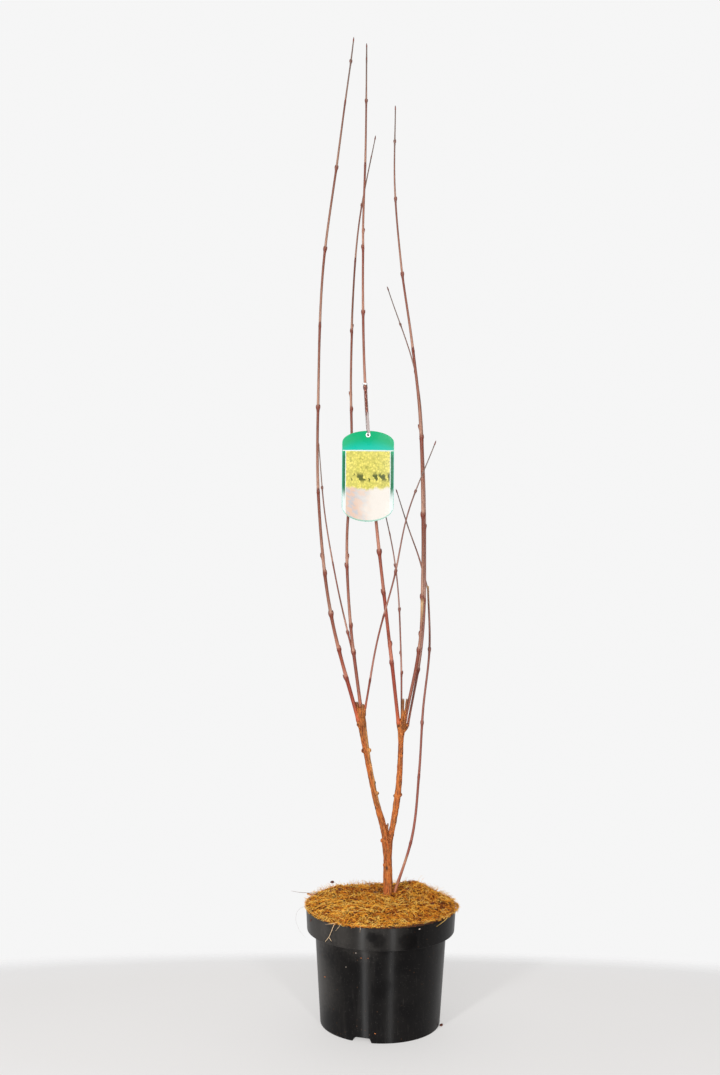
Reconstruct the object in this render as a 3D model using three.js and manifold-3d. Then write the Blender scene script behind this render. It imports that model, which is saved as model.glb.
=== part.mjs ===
// A young katsura tree, dormant and leafless, in the round pot that it grows in.
// Millimetres, +Z up. The origin is the middle of the pot's underside, and the
// front of the tree faces -Y. Each shoot of the bare crown is a mesh of its own.

import * as THREE from 'three';
import { mergeVertices } from 'three/addons/utils/BufferGeometryUtils.js';
import Module from 'manifold-3d';

const wasm = await Module();
wasm.setup();

// Air between neighbouring pieces
const GAP = 0.3;

// Round plastic pot: a tapered wall under a deeper collar that stands out from it
const POT = {
  height: 140.7,
  rimRadius: 92,
  collarFootRadius: 90.5,
  collarDepth: 26.9,
  wallTopRadius: 80.6,
  baseRadius: 73.4,
  baseRounding: 2.2,
  lipRounding: 0.5,
  wall: 1.6,
  floor: 2,
  sides: 48,
};

// Drainage notches, cut through the corner between the wall and the floor. The
// cutting prism reaches a little past the wall and below the floor.
const NOTCH = {
  count: 3,
  firstAngle: -108,
  footWidth: 26,
  topWidth: 19,
  height: 6,
  reach: 16,
  overshoot: 2,
};

// What fills the pot, and the domed mat of fibre on top of it
const SOIL = { topHeight: 126, stepRadius: 55, stepHeight: 7 };
const MULCH = {
  lipRadius: 91.4,
  lipHeight: 1.2,
  crownHeight: 150,
  rings: 6,
  lump: 1.1,
  lumpWavelength: 41,
};

// A long loose fibre that has worked out of the mat and stands out past the rim
const STRAY_FIBRE = {
  route: [[-66, 40, 145], [-78, 42, 147], [-90, 43, 147.4], [-102, 42, 148], [-112, 41, 149.2]],
  radius: 0.45,
  sides: 5,
  steps: 14,
};

// Limbs are level sections strung between two heights. Their place from side to
// side (across), front to back (depth) and their radius (girth) are given at even
// steps of height, and a smooth curve runs through those stations.
const TRUNK = {
  from: SOIL.topHeight + GAP,
  to: 219,
  across: [9.3, 9.1, 8.8, 8.4, 7.6],
  depth: [20, 20, 20, 20, 20],
  girth: [6.7, 5.6, 5.3, 4.9, 6.9],
  sides: 12,
  step: 8,
};
const TRUNK_NODE = { across: 8.7, depth: 19.7, height: 184, radius: 5.9, halfHeight: 8 };
const CROTCH_STUB = { from: 222, to: 239, across: [8.0, 8.2], depth: [19, 18.6], girth: [1.3, 0.8] };

// Height where the trunk's two arms end and the boughs go on
const FORK_HEIGHT = 233;
const ARM_FOOT = 206;

const LEFT_BOUGH = {
  from: ARM_FOOT,
  to: 385,
  across: [8.4, 2.4, -6.2, -12.6, -18.4, -23.4, -27.7],
  depth: [20, 18, 15.5, 13, 10.5, 8, 6],
  girth: [4.2, 4.0, 3.4, 3.4, 3.6, 4.6, 5.6],
  sides: 10,
  step: 12,
};
const RIGHT_BOUGH = {
  from: ARM_FOOT,
  to: 365,
  across: [7.8, 14.1, 18.4, 21.7, 23.2, 24.0, 24.6],
  depth: [20, 22, 23.5, 25, 26, 27, 27],
  girth: [4.2, 3.4, 3.8, 3.6, 3.2, 3.0, 5.2],
  sides: 10,
  step: 12,
};

// Swollen heads and knobs on the boughs: [across, depth, height, radius]
const LEFT_KNOBS = [[-26.2, 6, 377, 7.2], [-22.2, 7, 366, 5.4], [-23.2, 3, 381, 3.6]];
const RIGHT_KNOBS = [[25.0, 27, 362, 6.2], [30.6, 29.5, 360, 3.3], [20.9, 24.4, 273, 4.5]];

// Pruned stubs on the heads
const LEFT_STUBS = [
  { from: 378, to: 391.5, across: [-30.4, -31.9], depth: [7, 6], girth: [2.1, 1.8] },
  { from: 378, to: 389.5, across: [-24.2, -24.3], depth: [3, 1.5], girth: [2.2, 1.9] },
];
const RIGHT_STUBS = [
  { from: 360, to: 394, across: [25.2, 26.3], depth: [23, 21], girth: [1.7, 1.4] },
  { from: 360, to: 394, across: [27.4, 30.9], depth: [25, 22], girth: [1.2, 0.9] },
];

// Shoots of the crown. nodes holds the heights of the bud pairs, a twig is a side
// branch that is fused on, and a pruned shoot ends in a cut instead of a bud.
const SHOOTS = {
  left_outer_shoot: {
    from: 368,
    to: 1191,
    across: [-29.3, -65.1, -80.0, -80.7, -76.1, -59.2, -41.7],
    depth: [4, -8, -20, -30, -36, -40, -42],
    girth: [2.4, 2.0, 1.7, 1.5, 1.4, 1.2, 0.7],
    nodes: [423, 458, 501, 572, 651, 752, 851, 942, 1039, 1118, 1166],
    clearOf: ['left_bough'],
  },
  left_tall_shoot: {
    from: 384,
    to: 1100,
    across: [-26.6, -40.1, -45.4, -40.4, -42.2, -40.4, -32.9, -14.1],
    depth: [8, 12, 18, 24, 30, 36, 40, 44],
    girth: [2.2, 1.8, 1.7, 1.6, 1.4, 1.2, 0.9, 0.5],
    nodes: [453, 484, 560, 640, 756, 803, 855, 945, 1015, 1074],
    twig: {
      from: 452,
      to: 711,
      across: [-37.4, -58.0, -73.6, -82.0],
      depth: [12, 22, 30, 36],
      girth: [1.1, 0.9, 0.8, 0.5],
      nodes: [520, 592, 657],
    },
    clearOf: ['left_bough'],
  },
  crossing_shoot: {
    from: 384,
    to: 708,
    across: [-21.2, -7.7, 12.7, 29.0, 59.7],
    depth: [2, -8, -20, -32, -42],
    girth: [1.3, 1.1, 1.0, 0.8, 0.5],
    nodes: [420, 500, 554, 615, 674],
    clearOf: ['left_bough'],
  },
  centre_leader: {
    from: 362,
    to: 1196,
    across: [20.9, 6.4, -8.0, -19.8, -26.9, -28.4, -26.1, -25.7],
    depth: [24, 16, 8, 2, -2, -6, -8, -10],
    girth: [2.3, 2.1, 1.9, 1.7, 1.5, 1.3, 1.2, 0.7],
    nodes: [440, 513, 577, 690, 776, 872, 972, 1052, 1130, 1181],
    clearOf: ['right_bough'],
  },
  right_thin_shoot: {
    from: 366,
    to: 655,
    across: [24.9, 23.2, 16.0, -4.6],
    depth: [31, 34, 34, 30],
    girth: [1.1, 1.0, 0.8, 0.5],
    nodes: [425, 505, 560, 600],
    clearOf: ['right_bough'],
  },
  right_leader: {
    from: 366,
    to: 1124,
    across: [29.0, 46.3, 49.3, 49.1, 44.9, 32.9, 19.1, 10.2, 10.3],
    depth: [28, 24, 20, 16, 12, 9, 6, 4, 2],
    girth: [2.1, 1.9, 1.8, 1.7, 1.6, 1.4, 1.2, 1.0, 0.6],
    nodes: [455, 518, 624, 720, 828, 919, 1007, 1074],
    clearOf: ['right_bough'],
  },
  right_twin_shoot: {
    from: 358,
    to: 912,
    across: [32.6, 50.8, 53.7, 50.7, 40.7, 4.3],
    depth: [33, 38, 42, 46, 52, 58],
    girth: [1.5, 1.3, 1.1, 0.9, 0.8, 0.5],
    nodes: [429, 517, 610, 720, 806, 867],
    clearOf: ['right_bough'],
  },
  basal_shoot: {
    from: 141,
    to: 534,
    across: [15.5, 38.9, 47.7, 52.5, 60.2, 57.6],
    depth: [21.5, 31, 38, 44, 48, 50],
    girth: [1.8, 1.5, 1.4, 1.3, 1.2, 1.2],
    nodes: [166, 213, 295, 362, 454],
    pruned: true,
    twig: {
      from: 526,
      to: 653,
      across: [58.6, 46.6, 31.0, 17.2],
      depth: [50, 51, 50, 46],
      girth: [1.0, 0.9, 0.7, 0.5],
      nodes: [560, 616],
    },
    clearOf: ['trunk'],
  },
};
const SHOOT_SIDES = 6;
const SHOOT_STEP = 20;

// Buds sit in opposite pairs, each pair turned a quarter from the one below
const BUD = { length: 7, width: 2.4, lean: 14, firstTurn: 8, quarterTurn: 90, spread: 0.9, rise: 1.4 };
const TIP_BUD = { length: 6, widthPerGirth: 2.6 };

// Plastic label on a loop round the centre leader
const LABEL = {
  width: 63.8,
  shoulderHeight: 711.8,
  lowerCornerHeight: 633.6,
  topRise: 14.4,
  bottomDrop: 19.2,
  thickness: 0.6,
  middleAcross: -20.1,
  frontDepth: -4.6,
  bow: 2.4,
  columns: 16,
  holeRadius: 2.2,
  holeBelowApex: 5.2,
};
const TIE = {
  radius: 0.6,
  loopHeight: 788,
  clearance: 0.35,
  legSpread: 1.5,
  footRise: 9,
  segments: 52,
  sides: 5,
};

const COLOUR = {
  pot: 0x17181a,
  soil: 0x2b1c12,
  mulch: 0xb9742b,
  bark: 0x9a5a30,
  shoot: 0x7d4031,
  twig: 0x6f4a3f,
  label: 0x12b184,
  tie: 0xe9ecec,
};

const UP = new THREE.Vector3(0, 0, 1);
const radians = THREE.MathUtils.degToRad;

// A solid from a closed three.js geometry
function toSolid(geometry) {
  const bare = geometry.clone();
  bare.deleteAttribute('normal');
  bare.deleteAttribute('uv');
  const merged = mergeVertices(bare, 1e-5);
  return new wasm.Manifold(new wasm.Mesh({
    numProp: 3,
    vertProperties: Float32Array.from(merged.attributes.position.array),
    triVerts: Uint32Array.from(merged.index.array),
  }));
}

// A three.js geometry from a solid
function toGeometry(solid) {
  const mesh = solid.getMesh();
  const geometry = new THREE.BufferGeometry();
  geometry.setAttribute('position', new THREE.BufferAttribute(Float32Array.from(mesh.vertProperties), 3));
  geometry.setIndex(new THREE.BufferAttribute(Uint32Array.from(mesh.triVerts), 1));
  geometry.computeVertexNormals();
  return geometry;
}

// The largest connected piece of a solid, so that a cut leaves no scraps
function mainPiece(solid) {
  const pieces = solid.decompose();
  return pieces.reduce((best, piece) => (piece.volume() > best.volume() ? piece : best));
}

// Smooth curve through a limb's stations, even in height from foot to tip
function limbCurve(limb) {
  const last = limb.across.length - 1;
  const stations = limb.across.map((across, i) => new THREE.Vector3(
    across, limb.depth[i], THREE.MathUtils.lerp(limb.from, limb.to, i / last)));
  return new THREE.CatmullRomCurve3(stations, false, 'catmullrom', 0.5);
}

// Radius of a limb at a share of its height
function girthAt(limb, share) {
  const place = share * (limb.girth.length - 1);
  const lower = Math.min(Math.floor(place), limb.girth.length - 2);
  return THREE.MathUtils.lerp(limb.girth[lower], limb.girth[lower + 1], place - lower);
}

// A tapering limb of level sections, between two shares of its own height.
// grow makes it thicker and longer all round, for cutting a neighbour clear.
function limbSolid(limb, { start = 0, end = 1, grow = 0 } = {}) {
  const sides = limb.sides ?? SHOOT_SIDES;
  const span = (limb.to - limb.from) * (end - start);
  const steps = Math.max(1, Math.round(span / (limb.step ?? SHOOT_STEP)));
  const curve = limbCurve(limb);
  const geometry = new THREE.CylinderGeometry(1, 1, 1, sides, steps);
  const position = geometry.attributes.position;
  for (let i = 0; i < position.count; i += 1) {
    const rise = position.getY(i) + 0.5;
    const share = THREE.MathUtils.lerp(start, end, rise);
    const centre = curve.getPoint(share);
    const radius = girthAt(limb, share) + grow;
    const lengthen = rise > 0.999 ? grow : rise < 0.001 ? -grow : 0;
    position.setXYZ(i, centre.x + position.getX(i) * radius,
      centre.y - position.getZ(i) * radius, centre.z + lengthen);
  }
  return toSolid(geometry);
}

// Share of a limb's height at which it reaches a height above the ground
function shareAt(limb, height) {
  return (height - limb.from) / (limb.to - limb.from);
}

// A knob: a many-sided ball, stretched in height if asked
function knobSolid([across, depth, height, radius], { grow = 0, halfHeight = radius } = {}) {
  const ball = new THREE.IcosahedronGeometry(radius + grow, 1);
  ball.scale(1, 1, (halfHeight + grow) / (radius + grow));
  ball.translate(across, depth, height);
  return toSolid(ball);
}

// A pointed bud, leaning out from the limb in the given direction
function budSolid(place, turn, length, width, lean) {
  const bud = new THREE.OctahedronGeometry(0.5);
  bud.scale(width, width, length);
  bud.rotateY(radians(lean));
  bud.rotateZ(radians(turn));
  bud.translate(place.x, place.y, place.z);
  return toSolid(bud);
}

// Buds are smaller on thinner wood
function budSize(radius) {
  return THREE.MathUtils.mapLinear(radius, 0.5, 2, 0.6, 1.05);
}

// A shoot with its bud pairs, its tip bud and, if it has one, its side twig
function shootSolid(shoot) {
  const curve = limbCurve(shoot);
  let solid = limbSolid(shoot);
  shoot.nodes.forEach((height, index) => {
    const share = shareAt(shoot, height);
    const centre = curve.getPoint(share);
    const radius = girthAt(shoot, share);
    const size = budSize(radius);
    for (const side of [0, 180]) {
      const turn = BUD.firstTurn + index * BUD.quarterTurn + side;
      const place = new THREE.Vector3(radius * BUD.spread, 0, BUD.rise)
        .applyAxisAngle(UP, radians(turn)).add(centre);
      solid = solid.add(budSolid(place, turn, BUD.length * size, BUD.width * size, BUD.lean));
    }
  });
  if (!shoot.pruned) {
    const width = TIP_BUD.widthPerGirth * girthAt(shoot, 1);
    solid = solid.add(budSolid(curve.getPoint(1), 0, TIP_BUD.length, width, 0));
  }
  return shoot.twig ? solid.add(shootSolid(shoot.twig)) : solid;
}

// Round bodies: profiles are [radius, height] pairs that start and end on the axis
function latheSolid(profile) {
  const outline = profile.map(([radius, height]) => new THREE.Vector2(radius, height));
  const body = new THREE.LatheGeometry(outline, POT.sides);
  body.rotateX(Math.PI / 2);
  return toSolid(body);
}

// Outer radius of the pot's wall and collar at a height
function wallRadius(height) {
  const ledge = POT.height - POT.collarDepth;
  return THREE.MathUtils.mapLinear(height, 0, ledge, POT.baseRadius, POT.wallTopRadius);
}

function collarRadius(height) {
  const ledge = POT.height - POT.collarDepth;
  return THREE.MathUtils.mapLinear(height, ledge, POT.height, POT.collarFootRadius, POT.rimRadius);
}

function notchSolid(angle) {
  const foot = NOTCH.footWidth / 2;
  const top = NOTCH.topWidth / 2;
  const outline = new THREE.Shape([
    new THREE.Vector2(-foot, -NOTCH.overshoot),
    new THREE.Vector2(foot, -NOTCH.overshoot),
    new THREE.Vector2(foot, 0),
    new THREE.Vector2(top, NOTCH.height),
    new THREE.Vector2(-top, NOTCH.height),
    new THREE.Vector2(-foot, 0),
  ]);
  const depth = NOTCH.reach + NOTCH.overshoot;
  const prism = new THREE.ExtrudeGeometry(outline, { depth, bevelEnabled: false });
  prism.rotateX(Math.PI / 2);
  prism.rotateZ(Math.PI / 2);
  prism.translate(POT.baseRadius - NOTCH.reach, 0, 0);
  prism.rotateZ(radians(angle));
  return toSolid(prism);
}

function potSolid() {
  const ledge = POT.height - POT.collarDepth;
  const rim = POT.rimRadius;
  let pot = latheSolid([
    [0, 0],
    [POT.baseRadius - POT.baseRounding, 0],
    [wallRadius(POT.baseRounding), POT.baseRounding],
    [POT.wallTopRadius, ledge],
    [POT.collarFootRadius, ledge],
    [rim, POT.height - POT.lipRounding],
    [rim - POT.lipRounding, POT.height],
    [rim - POT.wall, POT.height],
    [collarRadius(ledge + POT.wall) - POT.wall, ledge + POT.wall],
    [POT.wallTopRadius - POT.wall, ledge + POT.wall],
    [wallRadius(POT.floor) - POT.wall, POT.floor],
    [0, POT.floor],
  ]);
  for (let i = 0; i < NOTCH.count; i += 1) {
    pot = pot.subtract(notchSolid(NOTCH.firstAngle + (i * 360) / NOTCH.count));
  }
  return mainPiece(pot);
}

function soilSolid() {
  const ledge = POT.height - POT.collarDepth + POT.wall;
  const inset = POT.wall + GAP;
  return latheSolid([
    [0, POT.floor + GAP],
    [SOIL.stepRadius, POT.floor + GAP],
    [SOIL.stepRadius, SOIL.stepHeight],
    [wallRadius(SOIL.stepHeight) - inset, SOIL.stepHeight],
    [POT.wallTopRadius - inset, ledge + GAP],
    [collarRadius(ledge) - inset, ledge + GAP],
    [collarRadius(SOIL.topHeight) - inset, SOIL.topHeight],
    [0, SOIL.topHeight],
  ]);
}

// The mat is lifted into soft lumps that die away at its edge
function mulchGeometry() {
  const inset = POT.wall + GAP;
  const foot = SOIL.topHeight + GAP;
  const edge = POT.height + GAP;
  const brow = edge + MULCH.lipHeight;
  const dome = [];
  for (let i = 1; i < MULCH.rings; i += 1) {
    const turn = (i * Math.PI) / (2 * MULCH.rings);
    const height = THREE.MathUtils.lerp(brow, MULCH.crownHeight, Math.sin(turn));
    dome.push([MULCH.lipRadius * Math.cos(turn), height]);
  }
  const outline = [
    [0, foot],
    [collarRadius(foot) - inset, foot],
    [collarRadius(POT.height) - inset, edge],
    [MULCH.lipRadius, edge],
    [MULCH.lipRadius, brow],
    ...dome,
    [0, MULCH.crownHeight],
  ].map(([radius, height]) => new THREE.Vector2(radius, height));
  const mat = new THREE.LatheGeometry(outline, POT.sides);
  mat.rotateX(Math.PI / 2);
  const position = mat.attributes.position;
  const wave = (2 * Math.PI) / MULCH.lumpWavelength;
  for (let i = 0; i < position.count; i += 1) {
    const x = position.getX(i);
    const y = position.getY(i);
    const z = position.getZ(i);
    if (z > brow) {
      const inward = 1 - (x * x + y * y) / MULCH.lipRadius ** 2;
      const fade = Math.min(1, 4 * inward);
      const broad = Math.sin(wave * x + 1) * Math.cos(wave * y);
      const fine = 0.5 * Math.sin(1.7 * wave * (x + y));
      position.setZ(i, z + MULCH.lump * fade * (broad + fine));
    }
  }
  return mat;
}

// The stray fibre, rooted well inside the mat
function strayFibreSolid() {
  const stops = STRAY_FIBRE.route.map(([across, depth, height]) => new THREE.Vector3(across, depth, height));
  const section = new THREE.Shape();
  for (let i = 0; i < STRAY_FIBRE.sides; i += 1) {
    const turn = (i * 2 * Math.PI) / STRAY_FIBRE.sides;
    const corner = [STRAY_FIBRE.radius * Math.cos(turn), STRAY_FIBRE.radius * Math.sin(turn)];
    if (i === 0) section.moveTo(...corner);
    else section.lineTo(...corner);
  }
  const extrudePath = new THREE.CatmullRomCurve3(stops, false, 'catmullrom', 0.5);
  return toSolid(new THREE.ExtrudeGeometry(section, {
    steps: STRAY_FIBRE.steps,
    extrudePath,
    bevelEnabled: false,
  }));
}

// The label is a plate with arched top and bottom edges, its middle bowed forward
function labelGeometry() {
  const plate = new THREE.BoxGeometry(1, LABEL.thickness, 1, LABEL.columns, 1, 1);
  const position = plate.attributes.position;
  for (let i = 0; i < position.count; i += 1) {
    const side = position.getX(i) * 2;
    const round = Math.sqrt(Math.max(0, 1 - side * side));
    const upper = LABEL.shoulderHeight + LABEL.topRise * (1 - side * side);
    const lower = LABEL.lowerCornerHeight - LABEL.bottomDrop * round;
    position.setXYZ(i, LABEL.middleAcross + (side * LABEL.width) / 2,
      LABEL.frontDepth + LABEL.thickness / 2 + position.getY(i) + LABEL.bow * side * side,
      position.getZ(i) > 0 ? upper : lower);
  }
  return plate;
}

function labelHole() {
  const height = LABEL.shoulderHeight + LABEL.topRise - LABEL.holeBelowApex;
  return new THREE.Vector3(LABEL.middleAcross, LABEL.frontDepth + LABEL.thickness / 2, height);
}

function labelSolid() {
  const hole = labelHole();
  const drillLength = 10 * LABEL.thickness;
  const drill = new THREE.CylinderGeometry(LABEL.holeRadius, LABEL.holeRadius, drillLength, 12);
  drill.translate(hole.x, hole.y, hole.z);
  return toSolid(labelGeometry()).subtract(toSolid(drill));
}

// The tie goes through the label's hole, up in front of the leader and round it.
// Its route is one leg up, the loop round the stem and the other leg down.
function tieSolid() {
  const leader = SHOOTS.centre_leader;
  const curve = limbCurve(leader);
  const hole = labelHole();
  const loopShare = shareAt(leader, TIE.loopHeight);
  const around = girthAt(leader, loopShare) + TIE.clearance + TIE.radius;
  const inFront = around + TIE.radius;
  const at = (height, right, back) => curve.getPoint(shareAt(leader, height))
    .add(new THREE.Vector3(right, back, 0));
  const footHeight = hole.z + TIE.footRise;
  const midHeight = (hole.z + TIE.loopHeight) / 2;
  const shoulder = TIE.loopHeight - 2.5;
  const beforeHole = new THREE.Vector3(hole.x - 0.6, hole.y - 1.4, hole.z + 3.2);
  const behindHole = new THREE.Vector3(hole.x + 0.4, hole.y + 1.3, hole.z + 3.2);
  const beforeLabel = at(footHeight, -TIE.legSpread, 0).setY(hole.y - 0.9);
  const loop = new THREE.CatmullRomCurve3([
    hole,
    beforeHole,
    beforeLabel,
    at(midHeight, -TIE.legSpread, -inFront),
    at(shoulder, -around * 0.75, -around * 0.75),
    at(TIE.loopHeight, -around, around * 0.3),
    at(TIE.loopHeight + 0.8, 0, around),
    at(TIE.loopHeight, around, around * 0.3),
    at(shoulder, around * 0.75, -around * 0.75),
    at(midHeight, TIE.legSpread, -inFront),
    at(footHeight, TIE.legSpread, -inFront),
    behindHole,
  ], true, 'centripetal');
  return toSolid(new THREE.TubeGeometry(loop, TIE.segments, TIE.radius, TIE.sides, true));
}

// The trunk, its swollen node, its two arms up to the fork and a small dead stub
function trunkSolid(grow = 0) {
  const node = [TRUNK_NODE.across, TRUNK_NODE.depth, TRUNK_NODE.height, TRUNK_NODE.radius];
  let solid = limbSolid(TRUNK, { grow });
  solid = solid.add(knobSolid(node, { grow, halfHeight: TRUNK_NODE.halfHeight }));
  for (const bough of [LEFT_BOUGH, RIGHT_BOUGH]) {
    solid = solid.add(limbSolid(bough, { end: shareAt(bough, FORK_HEIGHT), grow }));
  }
  return solid.add(limbSolid(CROTCH_STUB, { grow }));
}

function boughSolid(bough, knobs, stubs, grow = 0) {
  let solid = limbSolid(bough, { start: shareAt(bough, FORK_HEIGHT + GAP), grow });
  for (const knob of knobs) {
    solid = solid.add(knobSolid(knob, { grow }));
  }
  for (const stub of stubs) {
    solid = solid.add(limbSolid(stub, { grow }));
  }
  return solid;
}

// Solids of the limbs that shoots are cut clear of, grown by the gap
const cutters = {
  trunk: trunkSolid(GAP),
  left_bough: boughSolid(LEFT_BOUGH, LEFT_KNOBS, LEFT_STUBS, GAP),
  right_bough: boughSolid(RIGHT_BOUGH, RIGHT_KNOBS, RIGHT_STUBS, GAP),
};

const tree = new THREE.Group();

function addPiece(name, geometry, colour, roughness, metalness = 0) {
  const material = new THREE.MeshStandardMaterial({ color: colour, roughness, metalness });
  const mesh = new THREE.Mesh(geometry, material);
  mesh.name = name;
  tree.add(mesh);
}

addPiece('pot', toGeometry(potSolid()), COLOUR.pot, 0.4);
addPiece('potting_soil', toGeometry(soilSolid()), COLOUR.soil, 0.95);

const mulch = toSolid(mulchGeometry())
  .add(strayFibreSolid())
  .subtract(cutters.trunk)
  .subtract(limbSolid(SHOOTS.basal_shoot, { grow: GAP }));
addPiece('coir_mulch', toGeometry(mainPiece(mulch)), COLOUR.mulch, 0.95);

addPiece('trunk', toGeometry(trunkSolid()), COLOUR.bark, 0.85);
addPiece('left_bough', toGeometry(boughSolid(LEFT_BOUGH, LEFT_KNOBS, LEFT_STUBS)), COLOUR.bark, 0.8);
addPiece('right_bough', toGeometry(boughSolid(RIGHT_BOUGH, RIGHT_KNOBS, RIGHT_STUBS)), COLOUR.bark, 0.8);

for (const [name, shoot] of Object.entries(SHOOTS)) {
  let solid = shootSolid(shoot);
  for (const neighbour of shoot.clearOf) {
    solid = solid.subtract(cutters[neighbour]);
  }
  const thin = shoot.girth[0] < 1.6;
  addPiece(name, toGeometry(mainPiece(solid)), thin ? COLOUR.twig : COLOUR.shoot, 0.6);
}

addPiece('label', toGeometry(labelSolid()), COLOUR.label, 0.35);
addPiece('label_tie', toGeometry(tieSolid()), COLOUR.tie, 0.4);

export default tree;
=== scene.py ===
"""The looks of a young katsura tree in its nursery pot, dormant and leafless.

Everything is in metres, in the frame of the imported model: +Z up, the front of the
tree faces -Y and the pot stands on the origin. Each class below is one sub-assembly
of the object or one finish.
"""

from __future__ import annotations

import logging
import math
from dataclasses import dataclass
from enum import Enum
from functools import cached_property
from typing import ClassVar

import bpy
import numpy as np
from mathutils import Matrix, Vector, noise


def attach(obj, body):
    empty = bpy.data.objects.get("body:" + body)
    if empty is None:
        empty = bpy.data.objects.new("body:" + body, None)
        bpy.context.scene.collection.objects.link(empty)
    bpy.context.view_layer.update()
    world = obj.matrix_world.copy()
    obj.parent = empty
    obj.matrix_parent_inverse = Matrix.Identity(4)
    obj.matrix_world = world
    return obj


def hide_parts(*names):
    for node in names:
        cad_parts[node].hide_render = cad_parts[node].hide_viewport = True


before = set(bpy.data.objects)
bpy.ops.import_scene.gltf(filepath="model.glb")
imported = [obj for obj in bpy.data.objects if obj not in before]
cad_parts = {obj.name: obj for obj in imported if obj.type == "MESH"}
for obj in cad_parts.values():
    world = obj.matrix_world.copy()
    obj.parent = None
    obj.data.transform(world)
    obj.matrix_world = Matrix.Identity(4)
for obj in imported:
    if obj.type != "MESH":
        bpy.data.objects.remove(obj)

LOG = logging.getLogger("katsura")
BODY = "root"
SEED = 20
UP = Vector((0, 0, 1))
RIGHT = Vector((1, 0, 0))
# Short names of types; a form is the places of its vertices and its faces
Array = np.ndarray
Piece = bpy.types.Object
Material = bpy.types.Material
Socket = bpy.types.NodeSocket
Place = tuple[float, float, float]
Rows = tuple[tuple[float, ...], ...]
Faces = list[list[int]]
Form = tuple[Array, Faces]
Colour = tuple[float, float, float, float]


class Slot(Enum):
    """Material slots of the record that the pieces take their finish from."""

    POT = "pot_plastic"
    COIR = "coir_fibre"
    BARK = "bark"
    SHOOT = "shoot_bark"
    THIN_SHOOT = "thin_shoot_bark"
    LABEL = "label_plastic"
    TIE = "tie_plastic"


class Effect(Enum):
    """Shader groups that more than one finish uses."""

    MOTTLE = "mottle"
    GRAIN = "grain"
    FLECKS = "flecks"
    SPOT = "spot"


def settle(piece: Piece, slot: Slot, *nodes: str, wear: Material | None = None) -> None:
    """Dresses a finished piece, ties it to the body and hides the nodes that it replaces.

    Args:
        piece: The finished piece, with its place in its mesh.
        slot: Not used.
        nodes: Names of the nodes that it replaces, if any.
        wear: The material that it wears, unless it has its own.
    """
    if wear:
        piece.data.materials.clear()
        piece.data.materials.append(wear)
    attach(piece, BODY)
    if nodes:
        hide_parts(*nodes)
    LOG.info("%s: %d faces", piece.name, len(piece.data.polygons))


def take(piece: Piece) -> Piece:
    """Selects one piece alone and makes it active.

    Args:
        piece: The piece.

    Returns:
        The same piece.
    """
    bpy.ops.object.select_all(action="DESELECT")
    piece.select_set(True)
    bpy.context.view_layer.objects.active = piece
    return piece


def place_in_mesh(piece: Piece) -> Piece:
    """Moves a piece's place, turn and scale from its object into its mesh.

    Args:
        piece: The piece.

    Returns:
        The same piece.
    """
    take(piece)
    bpy.ops.object.transform_apply(location=True, rotation=True, scale=True)
    return piece


def start(name: str, kind: str, **settings: object) -> Piece:
    """Adds a primitive with nothing else selected.

    Args:
        name: Name of the new piece and of its mesh.
        kind: Blender's name for the primitive.
        settings: Its sizes, its place and its turn.

    Returns:
        The new piece, with its place in its mesh.
    """
    bpy.ops.object.select_all(action="DESELECT")
    getattr(bpy.ops.mesh, f"primitive_{kind}_add")(**settings)
    piece = bpy.context.active_object
    piece.name = name
    piece.data.name = name
    return place_in_mesh(piece)


def modify(piece: Piece, kind: str, **settings: object) -> None:
    """Adds one modifier to a piece and applies it.

    Args:
        piece: The piece to change.
        kind: Blender's name for the modifier.
        settings: Values of the modifier.
    """
    take(piece)
    modifier = piece.modifiers.new(kind.title(), kind)
    for name, value in settings.items():
        setattr(modifier, name, value)
    bpy.ops.object.modifier_apply(modifier=modifier.name)


def cut(piece: Piece, cutter: Piece) -> None:
    """Cuts one piece by another, which is used up."""
    modify(piece, "BOOLEAN", operation="DIFFERENCE", object=cutter, solver="EXACT")
    bpy.data.objects.remove(cutter)


def face_outwards(piece: Piece, merge: float = 0.0) -> Piece:
    """Turns every face of a piece outwards.

    Args:
        piece: The piece.
        merge: Vertices closer than this are merged first, unless it is nothing.

    Returns:
        The same piece.
    """
    take(piece)
    bpy.ops.object.mode_set(mode="EDIT")
    bpy.ops.mesh.select_all(action="SELECT")
    if merge:
        bpy.ops.mesh.remove_doubles(threshold=merge)
    bpy.ops.mesh.normals_make_consistent(inside=False)
    bpy.ops.object.mode_set(mode="OBJECT")
    return piece


def smooth(piece: Piece, angle: float) -> None:
    """Shades a piece smooth up to an angle in degrees."""
    take(piece)
    bpy.ops.object.shade_smooth_by_angle(angle=math.radians(angle))


def turned(name: str, profile: list[tuple[float, float]], sides: int) -> Piece:
    """Shapes a round body by drawing a disc up through its rings, one by one.

    Args:
        name: Name of the new piece.
        profile: Radius and height of each ring, from the bottom disc to the last one.
        sides: Number of sides of the round body.

    Returns:
        The closed body, with its faces outwards.
    """
    (radius, height), *rings = profile
    piece = start(name, "circle", vertices=sides, radius=radius, fill_type="NGON",
                  location=(0, 0, height))
    bpy.ops.object.mode_set(mode="EDIT")
    bpy.ops.mesh.select_all(action="SELECT")
    for next_radius, next_height in rings:
        bpy.ops.mesh.extrude_region_move(
            TRANSFORM_OT_translate={"value": (0, 0, next_height - height)})
        scale = next_radius / radius
        bpy.ops.transform.resize(value=(scale, scale, 1), center_override=(0, 0, next_height))
        radius, height = next_radius, next_height
    bpy.ops.object.mode_set(mode="OBJECT")
    return face_outwards(piece)


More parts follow.
